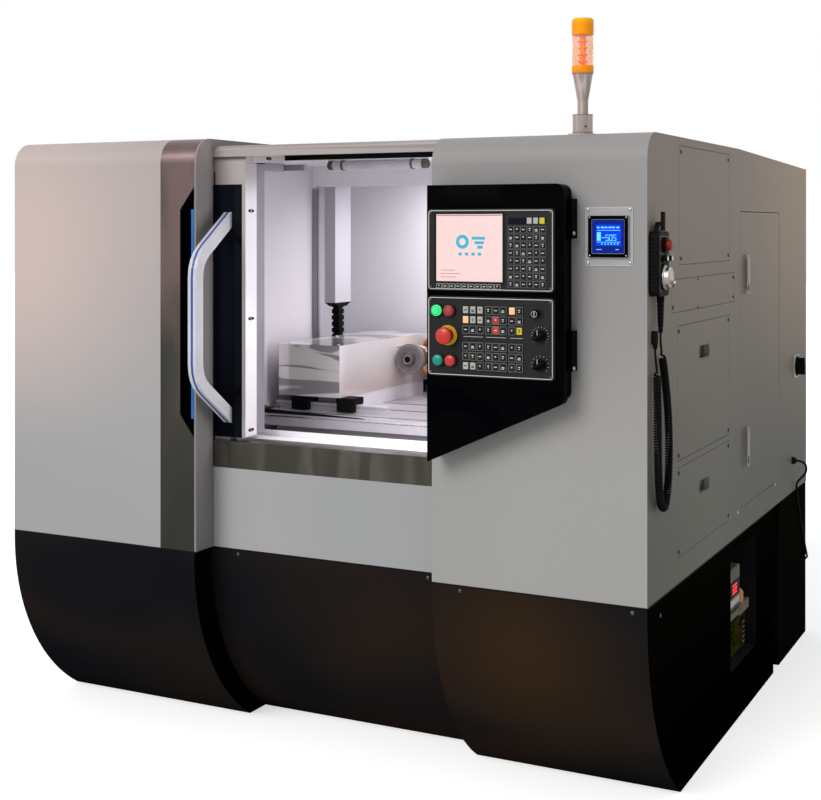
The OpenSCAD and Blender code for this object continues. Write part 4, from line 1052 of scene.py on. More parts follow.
# %% [markdown]
# ## The enclosure's small parts
# A thin dark seal lies between the sheet metal and the base. The hoop carries a
# rubber edge where the door passes it, and the roof front has the dark track
# that the door's top runs in. The track's black also stands in for the shade in
# the gap under the header.
# %% Seals and track
seal_low, seal_high = base_top - 0.003, base_top + 0.0005
seal_runs = [((left, front - 0.0008), (hoop_x + 0.006, front + 0.004)),
             ((hoop_x + 0.006, middle - 0.0008), (jamb_x, middle + 0.004)),
             ((jamb_x, front - 0.0008), (side, front + 0.004)),
             ((side - 0.004, front), (side + 0.0008, 0.395))]
piece(join([rounded((*a, seal_low), (*b, seal_high), 0.0006) for a, b in seal_runs]),
      "base_seal", rubber)

liner_low, liner_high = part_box("chamber_liner")
header_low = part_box("header_rail")[0]
liner_front = middle + 0.230
# Partly painted shade: the track is black for the shaded gap under the header.
track = rounded((hoop_x + 0.012, liner_front - 0.013, liner_high.z - 0.004),
                (jamb_x - 0.002, liner_front - 0.0015, liner_high.z + 0.010), 0.001)
piece(track, "door_track", black_plastic)
HOOP_SEAL_Z = (0.56, 1.52)
hoop_edge = rounded((hoop_x + 0.0062, middle + 0.003, HOOP_SEAL_Z[0]),
                    (hoop_x + 0.0075, middle + 0.007, HOOP_SEAL_Z[1]), 0.0005)
piece(hoop_edge, "hoop_edge_seal", rubber)

# %% [markdown]
# ## The door
# The door's right end is a bright aluminium plate, and an arm of the same metal
# runs back along the hood. Both are blocks with a fine bevel, a thin sheet
# laid on the end of the frame. The metal turns darker towards the top, a
# painted shade.
# %% Door end plate and arm
END_SHEET = 0.0016
frame_low, frame_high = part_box("door_frame")
end_x = frame_high.x
# Painted shade: the metal turns darker towards the top.
end_metal = finish("end_plate_metal", (0.92, 0.88, 0.92), (0.80, 0.77, 0.81), (0.25, 0.4),
                   broad=5.0, dent=0.03, light_by_height=(1.43, 1.52, (0.44, 0.42, 0.43)),
                   Specular_IOR_Level=0.4)
plate = rounded((end_x, frame_low.y + 0.0008, frame_low.z + 0.002),
                (end_x + END_SHEET, frame_low.y + 0.0542, frame_high.z - 0.030), 0.0004)
piece(plate, "door_end_plate", end_metal, "door")
arm = rounded((end_x, frame_low.y + 0.032, frame_high.z - 0.0235),
              (end_x + END_SHEET, frame_low.y + 0.199, frame_high.z - 0.001), 0.0004)
piece(arm, "door_end_arm", end_metal, "door")

# %% [markdown]
# ### Door fixings
# The plate is held by bolts in long dark slots, so that it can be set. A slot is
# a turned disc stretched along the sheet, and a small bright bolt lies in it.
# All stay within two millimetres, because the door closes against the jamb.
# %% Slots and bolts
SLOT_LENGTH = 3.2
fixing_places = [(end_x + 0.0014, frame_low.y + 0.027, z) for z in (1.415, 1.125, 0.825)]
fixing_places.append((end_x + 0.0014, frame_low.y + 0.115, frame_high.z - 0.0125))
hole = turned((0, 0, 0), (1, 0, 0), [(0.0046, 0), (0.0046, 0.0003), (0.0042, 0.0004)], 32)
hole.data.transform(Matrix.Scale(SLOT_LENGTH, 4, (0, 1, 0)))
piece(copies(hole, fixing_places), "door_end_slots", rubber, "door")
screws("door_end_screws", [(x + 0.0003, y, z) for x, y, z in fixing_places], (1, 0, 0),
       bright_screw, "satin_metal", "door", radius=0.0034, height=0.0002)

# %% [markdown]
# ### Fold and guide
# A folded grey strip behind the plate closes the gap to the chamber, on the
# upright and under the hood. The guide bar hangs from the roof rail and keeps
# the hood in line, so it rides the machine and not the door. Both are a darker
# grey that stands in for the shade behind the door's end and under its hood.
# %% Rear fold and hood guide
# Painted shade: the fold and the guide are a darker grey.
fold = rounded((end_x - 0.030, frame_low.y + 0.0555, frame_low.z + 0.004),
               (end_x - 0.0005, frame_low.y + 0.098, frame_high.z - 0.028), 0.002)
hood_fold = rounded((end_x - 0.030, frame_low.y + 0.096, frame_high.z - 0.046),
                    (end_x - 0.0005, frame_high.y - 0.002, frame_high.z - 0.0245), 0.002)
piece(join([fold, hood_fold]), "door_rear_fold", shaded_grey_paint, "door")
guide_low, guide_high = frame_high.y + 0.0025, frame_high.y + 0.0070
web = rounded((end_x - 0.055, guide_low, frame_high.z - 0.030),
              (end_x - 0.004, guide_high, header_low.z + 0.0004), 0.001)
bar = rounded((end_x - 0.055, guide_low, frame_high.z - 0.043),
              (end_x + 0.061, guide_high + 0.010, frame_high.z - 0.026), 0.001)
piece(join([web, bar]), "hood_guide", shaded_grey_paint)

# %% [markdown]
# ### Film strip
# A strip of blue protective film is left in the notch beside the door.
# %% The film strip in the notch
strip = rounded((hoop_x - 0.0125, front + 0.0035, 0.862), (hoop_x - 0.004, front + 0.0065, 1.418),
                0.001)
piece(strip, "notch_film_strip", blue_film)

# %% [markdown]
# ## Inside the chamber
# A tube lamp hangs under the roof in two clips. The cable duct ends in a black
# flared boot, from which the drag chain falls. Seams and small screws show that
# the white liner is made of sheets.
# %% Tube lamp
TUBE_RADIUS = 0.0128
CAP_RADIUS = 0.0134
lamp_low, lamp_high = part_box("chamber_lamp")
lamp_y = middle_of("chamber_lamp").y
lamp_z = lamp_high.z - 0.0008 - 0.0135
glow = turned((lamp_low.x + 0.016, lamp_y, lamp_z), (1, 0, 0),
              [(0.011, 0), (TUBE_RADIUS, 0.002), (TUBE_RADIUS, 0.279), (0.011, 0.281)], 28)
piece(glow, "lamp_tube", lamp_glow)
cap = turned((lamp_low.x, lamp_y, lamp_z), (1, 0, 0),
             [(0.0095, 0), (0.0132, 0.003), (CAP_RADIUS, 0.017), (0.0118, 0.018)], 28)
other_cap = cap.copy()
other_cap.data = cap.data.copy()
other_cap.data.transform(Matrix.Translation((2 * (lamp_low.x + 0.1565), 0, 0))
                         @ Matrix.Scale(-1, 4, (1, 0, 0)))
other_cap.data.flip_normals()
bpy.context.scene.collection.objects.link(other_cap)
piece(join([cap, other_cap]), "lamp_end_caps", hub_steel)
clip = band((0, 0, 0), (1, 0, 0), 0.0136, 0.0150, 0, 0.006, 28)
piece(copies(clip, [(lamp_low.x + x, lamp_y, lamp_z) for x in (0.045, 0.262)]),
      "lamp_clips", hub_steel)
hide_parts("chamber_lamp")

# %% [markdown]
# ### Duct boot
# The boot is a block whose lower face is drawn in, more across the chain than
# along it. Its edges are bevelled last, so that the bevel has one width.
# %% Duct boot
duct_low, duct_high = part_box("cable_duct")
duct_middle = ((duct_low.x + duct_high.x) / 2, (duct_low.y + duct_high.y) / 2)
boot = add("cube", (*duct_middle, duct_low.z - 0.0065), size=1)
boot.scale = (duct_high.x - duct_low.x + 0.002, duct_high.y - duct_low.y + 0.002, 0.013)
settle(boot)
pick_faces(boot, lambda polygon: polygon.normal.z < -0.9)
bpy.ops.transform.resize(value=(0.86, 0.52, 1))
bpy.ops.object.mode_set(mode="OBJECT")
modify(boot, "BEVEL", width=0.0012, segments=2, limit_method="ANGLE")
piece(boot, "duct_boot", black_plastic)

# %% [markdown]
# ### Liner seams and corner post
# The liner's sheets meet in narrow seams with screws beside them, and a folded
# post covers the corner where the left wall steps back. The post's darker grey
# is painted shade at the corner.
# %% Liner seams and corner post
wall_x = duct_low.x - 0.005
step_y = duct_low.y - 0.065
back_y = liner_high.y - 0.003
seams = [((-0.13, back_y - 0.0012, 0.80), (-0.127, back_y - 0.0002, 1.552)),
         ((0.16, back_y - 0.0012, 0.80), (0.163, back_y - 0.0002, 1.552))]
piece(join([rounded(a, b, 0.0003) for a, b in seams]), "liner_seams", pale_plastic)
# Painted shade: the post's darker grey stands in for the shade at the corner.
post = rounded((wall_x + 0.0004, step_y - 0.006, 0.757), (wall_x + 0.020, step_y + 0.012, 1.49),
               0.002)
piece(post, "liner_corner_post", shaded_grey_paint)
piece(rounded((wall_x + 0.0200, step_y - 0.0065, 0.80), (wall_x + 0.0222, step_y - 0.0040, 1.50),
              0.0004), "liner_corner_seam", screw_metal)
screws("liner_screws",
       [(x, back_y - 0.0002, z) for x in (0.151, 0.172) for z in (0.90, 1.16, 1.42)],
       (0, -1, 0), bright_screw, "satin_metal", radius=0.004, height=0.0022)

# %% [markdown]
# ### Wheelhead, table and pan
# The wheelhead's cover is a box of mirror-polished sheet with small screws in
# its lid. Its carriages have thin rubber wipers at both ends, which are one
# block copied to eight places.
# %% Cover screws and carriage wipers
cover_low, cover_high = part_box("head_cover")
cover_x1 = cover_low.x + 0.205
screws("cover_lid_screws",
       [(x, y, cover_high.z) for x in (cover_low.x + 0.02, cover_x1 - 0.02)
        for y in (cover_low.y + 0.03, cover_low.y + 0.31, cover_high.y - 0.03)],
       (0, 0, 1), bright_screw, "satin_metal", "head", radius=0.004, height=0.0022)
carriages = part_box("head_carriages")
table_top = carriages[0].z - 0.004
rail_front = carriages[0].y + 0.030
rail_back = carriages[1].y - 0.030
ends = []
for y, xs in ((rail_front, (cover_low.x + 0.07, cover_x1 + 0.016)),
              (rail_back, (cover_low.x + 0.07, cover_x1 - 0.030))):
    for x in xs:
        ends += [(x - 0.0285, y, 0), (x + 0.0285, y, 0)]
wiper = rounded((-0.0015, -0.0285, table_top + 0.027), (0.0015, 0.0285, table_top + 0.043), 0.0006)
piece(copies(wiper, ends), "carriage_wipers", rubber, "head")

# %% [markdown]
# ### Wheel hub and bearing sleeve
# The hub's nut has a hexagon socket and a bright ring, and the wheel's face a
# fine ring around the flange. The socket is a flat black hexagon, which also
# stands in for the shade in its hollow. A dull brass sleeve covers the bearing
# behind it.
# %% Wheel hub and bearing sleeve
wheel_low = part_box("grinding_wheel")[0]
wheel_middle = middle_of("grinding_wheel")
hub = (wheel_middle.x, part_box("wheel_spindle")[0].y, wheel_middle.z)
# Partly painted shade: a flat black hexagon for the socket's shaded hollow.
piece(turned(hub, (0, -1, 0), [(0.0100, -0.0004), (0.0100, 0.0006), (0.0085, 0.0008)], 6),
      "hub_socket", rubber, "wheel")
piece(join([band(hub, (0, -1, 0), 0.0118, 0.0140, -0.0004, 0.0008, 40),
            band((hub[0], wheel_low.y, hub[2]), (0, -1, 0), 0.0415, 0.0425, -0.0003, 0.0004, 56)]),
      "hub_rings", bright_screw, "wheel")
BEARING_RADIUS, BEARING_FRONT, SLEEVE_END = 0.0360, -0.0880, 0.0360
piece(band((hub[0], BEARING_FRONT, hub[2]), (0, 1, 0), BEARING_RADIUS - 0.0003,
           BEARING_RADIUS + 0.0006, 0.0006, SLEEVE_END, 64), "bearing_sleeve", brass,
      "head")

# %% [markdown]
# ### Table
# Three slots run along the ground top. The front carries a dark strip that
# narrows to the right, painted shade and dark reflection, and a bright strip
# below it, a painted highlight. The dark strip is a block whose upper right
# edge is moved down.
# %% Table slots, painted shade strip and painted highlight
SHADE_STRIP_DROP = 0.0115
table_low, table_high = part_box("table")
slots = [rounded((table_low.x + 0.004, y, table_top - 0.0004),
                 (table_high.x - 0.06, y + 0.011, table_top + 0.0003), 0.0001)
         for y in (rail_front - 0.062, rail_front + 0.10, rail_front + 0.24)]
piece(join(slots), "table_slots", screw_metal)
table_face = table_low.y - 0.0006
# Painted shade and dark reflection: a black strip on the table's front.
shade_strip = rounded((table_low.x + 0.0006, table_face, 0.8325),
                  (-0.006, table_low.y + 0.0004, 0.8465), 0.0003)
for vertex in shade_strip.data.vertices:
    if vertex.co.x > -0.1 and vertex.co.z > 0.84:
        vertex.co.z -= SHADE_STRIP_DROP
piece(shade_strip, "table_front_shade_strip", rubber)
# Painted highlight: a bright strip along the table's front.
piece(rounded((table_low.x + 0.0006, table_face - 0.0004, 0.8235),
              (table_high.x - 0.0006, table_low.y + 0.0004, 0.8280), 0.0004),
      "table_front_highlight", bright_screw)

# %% [markdown]
# ### Coolant pipe and gutter
# A short brass pipe with a nut stands at the table's left front corner. It is a
# curve turned into a mesh. The gutter's bright lip closes the pan at the front,
# and a bright sheet on the back of the sill's top is a painted reflection of
# the white chamber.
# %% Coolant pipe and gutter lip
pipe_points = [(-0.345, -0.497, table_top + 0.010), (-0.325, -0.497, table_top + 0.012),
               (-0.306, -0.499, table_top + 0.018), (-0.292, -0.503, table_top + 0.016)]
PIPE_WIDE = 0.009
pipe = tube("coolant_pipe", smooth_route([Vector(p) for p in pipe_points], 6), PIPE_WIDE, brass)
piece(as_mesh(pipe), "coolant_pipe", brass)
nut = turned((-0.352, -0.497, table_top + 0.010), (1, 0, 0),
             [(0.0075, 0), (0.0085, 0.0015), (0.0085, 0.0085), (0.0075, 0.010)], 6)
piece(nut, "coolant_nut", brass)
sill_low, sill_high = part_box("sill")
lip = rounded((hoop_x + 0.008, sill_high.y + 0.0006, liner_low.z + 0.006),
              (jamb_x - 0.002, sill_high.y + 0.0030, sill_high.z + 0.016), 0.0008)
# Painted reflection: a thin white sheet on the sill's top.
sill_reflection = rounded((hoop_x + 0.008, sill_low.y + 0.072, sill_high.z),
                (jamb_x - 0.002, sill_high.y, sill_high.z + 0.0007), 0.0002)
piece(join([lip, sill_reflection]), "gutter_lip_and_sill_reflection", lip_and_reflection_white)

# %% [markdown]
# ## The control panel
# The tall gloss box holds two units. Each has a light rounded outline, and its
# keys are one cap modelled once and copied by its own grid. The legends are
# small raised marks, different from key to key, as printed words would be.
# %% Unit outlines and bolts
display_low, display_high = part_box("display_unit")
operator_low, operator_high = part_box("operator_panel")
face = display_low.y
unit_x = display_low.x
outlines = [plate_line((low.x + 0.003, low.z + 0.003), (high.x - 0.003, high.z - 0.003), face,
                       0.007, 0.0017, 0.0005)
            for low, high in ((display_low, display_high), (operator_low, operator_high))]
piece(join(outlines), "unit_outlines", white_ink)
box_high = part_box("control_box")[1]
BOLT_INSET = 0.0085
for name, low, high in (("display_bolts", display_low, display_high),
                        ("operator_bolts", operator_low, operator_high)):
    screws(name, [(x, face, z) for x in (low.x + BOLT_INSET, high.x - BOLT_INSET)
                  for z in (low.z + BOLT_INSET, high.z - BOLT_INSET)], (0, -1, 0), screw_metal,
           "black_plastic", radius=0.0034, height=0.0016)

# %% [markdown]
# ### Screen
# The screen shows a plain status page: a head bar, a teal ring beside three
# staggered bars over four small blocks, and short grey lines. All of it is
# shapes, with no words.
# %% Screen page
BAR_LIFT = 0.0004
screen_low, screen_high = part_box("screen")


def flat_bar(x, z, width, tall):
    """A thin bar on the screen, from its top left corner."""
    y = screen_low.y
    return rounded((screen_low.x + x, y - BAR_LIFT, screen_high.z - z - tall),
                   (screen_low.x + x + width, y + 0.0002, screen_high.z - z), 0.0001, 1)


print("screen", [round(v, 4) for v in screen_high - screen_low])

# %% Shapes, lines and bezel
screen_wide = screen_high.x - screen_low.x
screen_tall = screen_high.z - screen_low.z
ring = band((screen_low.x + screen_wide * 0.40, screen_low.y,
             screen_high.z - screen_tall * 0.41), (0, -1, 0), 0.0085, 0.0165, 0, BAR_LIFT, 40)
shapes = [ring] + [flat_bar(0.092 + 0.007 * i, 0.053 + 0.0105 * i, 0.034 - 0.010 * i, 0.0068)
                   for i in range(3)]
shapes += [flat_bar(0.058 + 0.0165 * i, 0.090, 0.0085, 0.0070) for i in range(4)]
piece(join(shapes), "screen_marks", screen_teal)
lines = [flat_bar(0.002, 0.002, screen_wide - 0.004, 0.0024)]
lines += [flat_bar(0.012, screen_tall - 0.027 + 0.008 * row, wide, 0.0016)
          for row, wide in enumerate((0.036, 0.052, 0.040))]
piece(join(lines), "screen_lines", screen_grey)
bezel = plate_line((screen_low.x - 0.004, screen_low.z - 0.004),
                   (screen_high.x + 0.004, screen_high.z + 0.004), face, 0.003, 0.0022, 0.0009)
piece(bezel, "screen_bezel", key_face)

# %% [markdown]
# ### Keys
# A key is a cube with its front drawn in a little and its edges rounded. Its
# legend is a second mesh with one, two or three short bars.
# %% Key caps and legends
KEY_PROUD = 0.0022


def cap_at(x, z, width, tall):
    """One key cap centred on a place of the panel's face."""
    obj = add("cube", (x, face - KEY_PROUD / 2, z), size=1)
    obj.scale = (width, KEY_PROUD, tall)
    settle(obj)
    pick_faces(obj, lambda polygon: polygon.normal.y < -0.9)
    bpy.ops.transform.resize(value=(0.88, 1, 0.90))
    bpy.ops.object.mode_set(mode="OBJECT")
    return modify(obj, "BEVEL", width=0.0009, segments=2, limit_method="ANGLE")


def legend(x, z, width, kind):
    """Short raised bars that stand for a key's printing."""
    y = face - KEY_PROUD
    bars = []
    heights = {0: (0.0,), 1: (0.0022, -0.0022), 2: (0.0012,), 3: (0.0, -0.0034)}[kind % 4]
    for i, dz in enumerate(heights):
        wide = width * (0.50, 0.36, 0.22, 0.44)[(kind + i) % 4] / 2
        high = 0.00115 if kind % 4 != 2 else 0.0018
        bars.append(rounded((x - wide, y - 0.00018, z + dz - high),
                            (x + wide, y + 0.0002, z + dz + high), 0.00008, 1))
    return bars


print("keys stand", KEY_PROUD, "m proud of the panel")

# %% [markdown]
# ### Keypad
# The keypad has eight rows of six keys, ten soft keys lie under the screen, and
# two pale keys and a yellow one stand above. One cap of each size is modelled
# and copied to its grid.
# %% Keypad, soft keys and top keys
PAD_KEY, SOFT_KEY, TOP_KEY = (0.0137, 0.0147), (0.013, 0.010), (0.013, 0.015)
keypad = [(unit_x + 0.214 + 0.0158 * i, display_high.z - 0.048 - 0.018 * j)
          for j in range(8) for i in range(6)]
soft_keys = [(unit_x + 0.031 + 0.0166 * i, display_high.z - 0.181) for i in range(10)]
top_keys = [(unit_x + 0.260 + 0.0156 * i, display_high.z - 0.028) for i in range(3)]
dark_caps = []
for places, size in ((keypad, PAD_KEY), (soft_keys, SOFT_KEY)):
    first = places[0]
    dark_caps.append(copies(cap_at(*first, *size),
                            [(x - first[0], 0, z - first[1]) for x, z in places]))
piece(join(dark_caps), "keypad_caps", key_face)
marks = []
for i, (x, z) in enumerate(keypad):
    marks += legend(x, z, PAD_KEY[0], (i * 7 + i // 6) % 5)
for i, (x, z) in enumerate(soft_keys):
    marks += legend(x, z, SOFT_KEY[0], 2 if i in (0, 9) else 0)
piece(join(marks), "keypad_legends", white_ink)
piece(join([cap_at(*place, *TOP_KEY) for place in top_keys[:2]]), "select_keys", pale_key)
piece(cap_at(*top_keys[2], *TOP_KEY), "reset_key", yellow_key)
window = rounded((unit_x + 0.208, face - 0.0006, display_high.z - 0.035),
                 (unit_x + 0.250, face + 0.0006, display_high.z - 0.021), 0.0004)
piece(window, "display_window", dark_glass)

# %% [markdown]
# ### Operator keys
# The lower unit has two blocks of keys in three groups of columns. Each key has
# an address of block, group, column and row, and its colour is chosen by that
# address, so that one loop makes all five colours.
# %% Places of the operator keys
groups = ((0.100, 3), (0.158, 3), (0.217, 2))
pitch_x, pitch_z = 0.0184, 0.023
key_places = {}
for block, drop in enumerate((0.0, 0.085)):
    for g, (x0, columns) in enumerate(groups):
        for i in range(columns):
            for j in range(3):
                key_places[block, g, i, j] = (unit_x + x0 + pitch_x * i,
                                              operator_high.z - 0.031 - pitch_z * j - drop)
lit_keys = {(0, 0, 0, 1), (0, 2, 0, 0)}
pale_keys = {(0, 0, i, j) for i in range(3) for j in (0, 1)} - lit_keys
pale_keys |= {(1, 0, i, 2) for i in (0, 1)}
red_keys = {(0, 1, 1, 1), (0, 1, 1, 2)}
yellow_keys = {(0, 2, 1, 2)}
print("operator keys", len(key_places))

# %% Caps of the operator keys
OPERATOR_KEY = (0.0145, 0.017)
kinds = (("operator_keys_lit", orange_lamp, "red_plastic", lit_keys),
         ("operator_keys_pale", pale_key, "pale_plastic", pale_keys),
         ("operator_keys_red", red_plastic, "red_plastic", red_keys),
         ("operator_keys_yellow", yellow_key, "amber_lens", yellow_keys),
         ("operator_keys_dark", key_face, "black_plastic",
          set(key_places) - lit_keys - pale_keys - red_keys - yellow_keys))
for name, material, slot, chosen in kinds:
    at = sorted(chosen)
    first = key_places[at[0]]
    cap = cap_at(*first, *OPERATOR_KEY)
    piece(copies(cap, [(key_places[k][0] - first[0], 0, key_places[k][1] - first[1]) for k in at]),
          name, material)

# %% [markdown]
# ### Key outlines and legends
# A thin printed outline stands around each dark key. The three sizes of outline
# come from one table, with half the width, half the height and the line's own
# radius, width and depth.
# %% Key outlines
framed = sorted(key_places[k] for k in key_places
                if k not in pale_keys | yellow_keys | lit_keys)
for name, places, half, line, ink in (
        ("operator_key_lines", framed, (0.0082, 0.0095), (0.0014, 0.0009, 0.0007), key_line),
        ("keypad_lines", keypad, (0.0075, 0.0080), (0.0016, 0.0007, 0.0006), key_line),
        ("soft_key_lines", soft_keys, (0.0072, 0.0058), (0.0012, 0.0008, 0.0006), white_ink)):
    edge_line = plate_line((-half[0], -half[1]), half, face, *line)
    piece(copies(edge_line, [(x, 0, z) for x, z in places]), name, ink)

# %% Operator legends and rules
marks, dark_marks = [], []
for i, k in enumerate(sorted(key_places)):
    x, z = key_places[k]
    kind = (i * 5 + k[3]) % 4
    chosen = dark_marks if k in pale_keys | yellow_keys else marks
    chosen += legend(x, z, OPERATOR_KEY[0], kind)
piece(join(marks), "operator_legends", white_ink)
piece(join(dark_marks), "operator_legends_dark", key_face)
rules = [rounded((unit_x + x, face - 0.0003, operator_high.z - 0.094),
                 (unit_x + x + w, face + 0.0003, operator_high.z - 0.0930), 0.0001, 1)
         for x, w in ((0.094, 0.050), (0.152, 0.050), (0.212, 0.032))]
piece(join(rules), "operator_rules", white_ink)

# %% [markdown]
# ### Buttons and knobs
# Each button sits in a metal collar, the emergency stop on a yellow ring, and
# the two feed knobs in a printed scale. The knobs' pointer lines turn with them.
# %% Collars, scales and pointers


def on_face(name):
    """The middle of a fitting, on the panel's face."""
    middle_point = middle_of(name)
    return middle_point.x, face, middle_point.z


piece(turned(on_face("estop_head"), (0, -1, 0),
             [(0.0240, 0), (0.0240, 0.0022), (0.0218, 0.0052), (0.0158, 0.0052), (0.0158, 0),
              (0.0240, 0)], 48, ring=True), "estop_ring", yellow_plastic)
KNOB_REACH = 130
for name, body, step in (("feed_knob", "feed", 20), ("speed_knob", "speed", 26)):
    x, _, z = on_face(name)
    tick = rounded((-0.0004, face - 0.0003, 0.0188), (0.0004, face + 0.0002, 0.0218), 0.0001, 1)
    turns = [Matrix.Translation((x, 0, z)) @ Matrix.Rotation(math.radians(a), 4, "Y")
             for a in range(-KNOB_REACH, KNOB_REACH + 1, step)]
    piece(copies(tick, turns), name + "_scale", white_ink)
    low_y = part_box(name)[0].y
    pointer = rounded((x - 0.0007, low_y - 0.0003, z + 0.003),
                      (x + 0.0007, low_y + 0.0004, z + 0.0145), 0.0002, 1)
    piece(pointer, name + "_pointer", white_ink, body)

# %% Key slot and button rims
key_x, _, key_z = on_face("key_switch")
key_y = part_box("key_switch")[0].y
slot_mark = join([rounded((key_x - 0.0012, key_y - 0.0006, key_z - 0.006),
                          (key_x + 0.0012, key_y + 0.0006, key_z + 0.006), 0.0003, 1),
                  band((key_x, key_y, key_z), (0, -1, 0), 0.0064, 0.0074, -0.0002, 0.0004, 32)])
piece(slot_mark, "key_slot", satin_metal, "key")
for name, body in (("start_button", "start"), ("stop_button", "stop")):
    x, _, z = on_face(name)
    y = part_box(name)[0].y
    piece(band((x, y, z), (0, -1, 0), 0.0088, 0.0102, -0.0002, 0.0004, 36), name + "_rim",
          screw_metal, body)

# %% [markdown]
# ## Meter and signal lamp
# The meter has a glossy plate with a screw at each corner, a dark frame and a
# blue display. Its figures are drawn with bars, seven to a digit. The signal
# lamp has a solid amber top and foot and a clear middle with its light column.
# %% Digits made of bars
SEGMENTS = {"0": "abcdef", "5": "afgcd", "8": "abcdefg", "-": "g"}
SPANS = {"a": (0, 1, 1, 1), "b": (1, 0.5, 1, 1), "c": (1, 0, 1, 0.5), "d": (0, 0, 1, 0),
         "e": (0, 0, 0, 0.5), "f": (0, 0.5, 0, 1), "g": (0, 0.5, 1, 0.5)}


def digits(shown, tall, stroke):
    """A row of figures from the origin, facing -Y."""
    bars, half = [], stroke / 2
    for i, mark in enumerate(shown):
        for key in SEGMENTS[mark]:
            x0, z0, x1, z1 = SPANS[key]
            bars.append(rounded((tall * (i * 0.72 + x0 * 0.5) - half, -0.0003, z0 * tall - half),
                                (tall * (i * 0.72 + x1 * 0.5) + half, 0.0003, z1 * tall + half),
                                stroke * 0.2, 1))
    return join(bars)


def to_right(obj, x):
    """Turns a piece that was made facing -Y at y 0 to face +X, at x."""
    obj.data.transform(Matrix.Translation((x, 0, 0)) @ Matrix.Rotation(math.radians(90), 4, "Z"))
    return obj


print("figures that can be shown", sorted(SEGMENTS))

# %% Meter frame, plate edge and display
meter_low, meter_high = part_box("panel_meter")
meter_x, _, meter_z = middle_of("panel_meter")
meter_y = meter_low.y
piece(plate_line((meter_x - 0.0475, meter_z - 0.0475), (meter_x + 0.0475, meter_z + 0.0475),
                 meter_y, 0.003, 0.0080, 0.0014), "meter_frame", panel_gloss)
piece(plate_line((meter_low.x + 0.001, meter_low.z + 0.001),
                 (meter_high.x - 0.001, meter_high.z - 0.001), front - 0.0015, 0.003, 0.0012,
                 0.0004), "meter_plate_edge", white_ink)
piece(rounded((meter_x - 0.0385, meter_y - 0.0006, meter_z - 0.0385),
              (meter_x + 0.0385, meter_y + 0.0004, meter_z + 0.0385), 0.0003),
      "meter_display", meter_blue)
piece(rounded((meter_x - 0.0290, meter_y - 0.0009, meter_z - 0.0215),
              (meter_x + 0.0310, meter_y, meter_z + 0.0270), 0.0002), "meter_lcd", lcd_blue)

# %% [markdown]
# ### Figures on the meter
# The display shows a row of short bars, two rules, a generic value and a few
# small marks, all of them thin bars of one cyan finish.
# %% Meter figures
meter_y -= 0.0004
figures = digits("-505", 0.0125, 0.0017)
figures.data.transform(Matrix.Translation((meter_x - 0.014, meter_y - 0.0007, meter_z - 0.009)))


def meter_bar(x, z, wide, tall):
    """A bar on the meter's display, from the display's middle."""
    return rounded((meter_x + x, meter_y - 0.0008, meter_z + z),
                   (meter_x + x + wide, meter_y - 0.0004, meter_z + z + tall), 0.0001, 1)


bars = [meter_bar(-0.026 + 0.0092 * i, 0.019, 0.0062 + 0.0014 * (i % 2), 0.0034)
        for i in range(6)]
bars += [meter_bar(-0.026, 0.0135, 0.055, 0.0012), meter_bar(-0.026, -0.0135, 0.055, 0.0012),
         meter_bar(-0.0262, -0.010, 0.0095, 0.020)]
bars += [meter_bar(-0.016 + 0.0075 * i, -0.0185, 0.0036, 0.0030) for i in range(6)]
bars += [meter_bar(-0.028, -0.0305, 0.013, 0.0016), meter_bar(0.018, -0.0305, 0.008, 0.0016)]
piece(join(bars + [figures]), "meter_figures", meter_cyan)

# %% Screws of the meter and the box's side
for name, dx, y, dz, radius, height in (
        ("meter_plate_screws", 0.0505, front - 0.0015, 0.0610, 0.0040, 0.0026),
        ("meter_frame_screws", 0.0435, meter_y - 0.0014, 0.0435, 0.0019, 0.0010)):
    screws(name, [(meter_x + a * dx, y, meter_z + b * dz) for a in (-1, 1) for b in (-1, 1)],
           (0, -1, 0), bright_screw, "satin_metal", radius=radius, height=height)
screws("panel_side_screws", [(box_high.x, front - 0.024, z) for z in (1.357, 1.047)],
       (1, 0, 0), bright_screw, "satin_metal", radius=0.0052, height=0.0036)

# %% [markdown]
# ### Signal lamp
# The lens has a ribbed amber top and foot with a clear wall between them, and a
# column with four discs inside. The ribs come from drawing every other corner of
# the turned shape in by half a millimetre.
# %% Ribs on a turned piece
RIB_DEPTH = 0.0005


def fluted(obj, x, y):
    """Draws every other corner of a turned piece in, so that its side is ribbed."""
    for i, vertex in enumerate(obj.data.vertices):
        offset = Vector((vertex.co.x - x, vertex.co.y - y, 0))
        if offset.length > 0.02 and round(math.degrees(math.atan2(offset.y, offset.x)) / 5) % 2:
            vertex.co -= offset.normalized() * RIB_DEPTH
    return obj


print("ribs are", RIB_DEPTH, "m deep")

# %% Lens, column and stand
lens_low, lens_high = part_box("lamp_lens")
lamp_x, lens_y, _ = middle_of("lamp_lens")
lamp_foot = (lamp_x, lens_y, lens_low.z)
lens_r, lens_h = (lens_high.x - lens_low.x) / 2, lens_high.z - lens_low.z
lens_top = fluted(turned(lamp_foot, (0, 0, 1), [
    (lens_r - 0.001, lens_h - 0.040), (lens_r, lens_h - 0.0392), (lens_r, lens_h - 0.004),
    (lens_r - 0.0028, lens_h - 0.0006), (lens_r * 0.62, lens_h)], 72), lamp_x, lens_y)
piece(lens_top, "lens_top", amber_solid)
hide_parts("lamp_lens")
piece(fluted(turned(lamp_foot, (0, 0, 1), [
    (lens_r - 0.0006, 0), (lens_r, 0.001), (lens_r, 0.0165), (lens_r - 0.001, 0.018)], 72),
    lamp_x, lens_y), "lens_foot", amber_solid)
piece(band(lamp_foot, (0, 0, 1), lens_r - 0.0030, lens_r - 0.0008, 0.0181, lens_h - 0.0402, 48),
      "lens_clear", amber_clear)
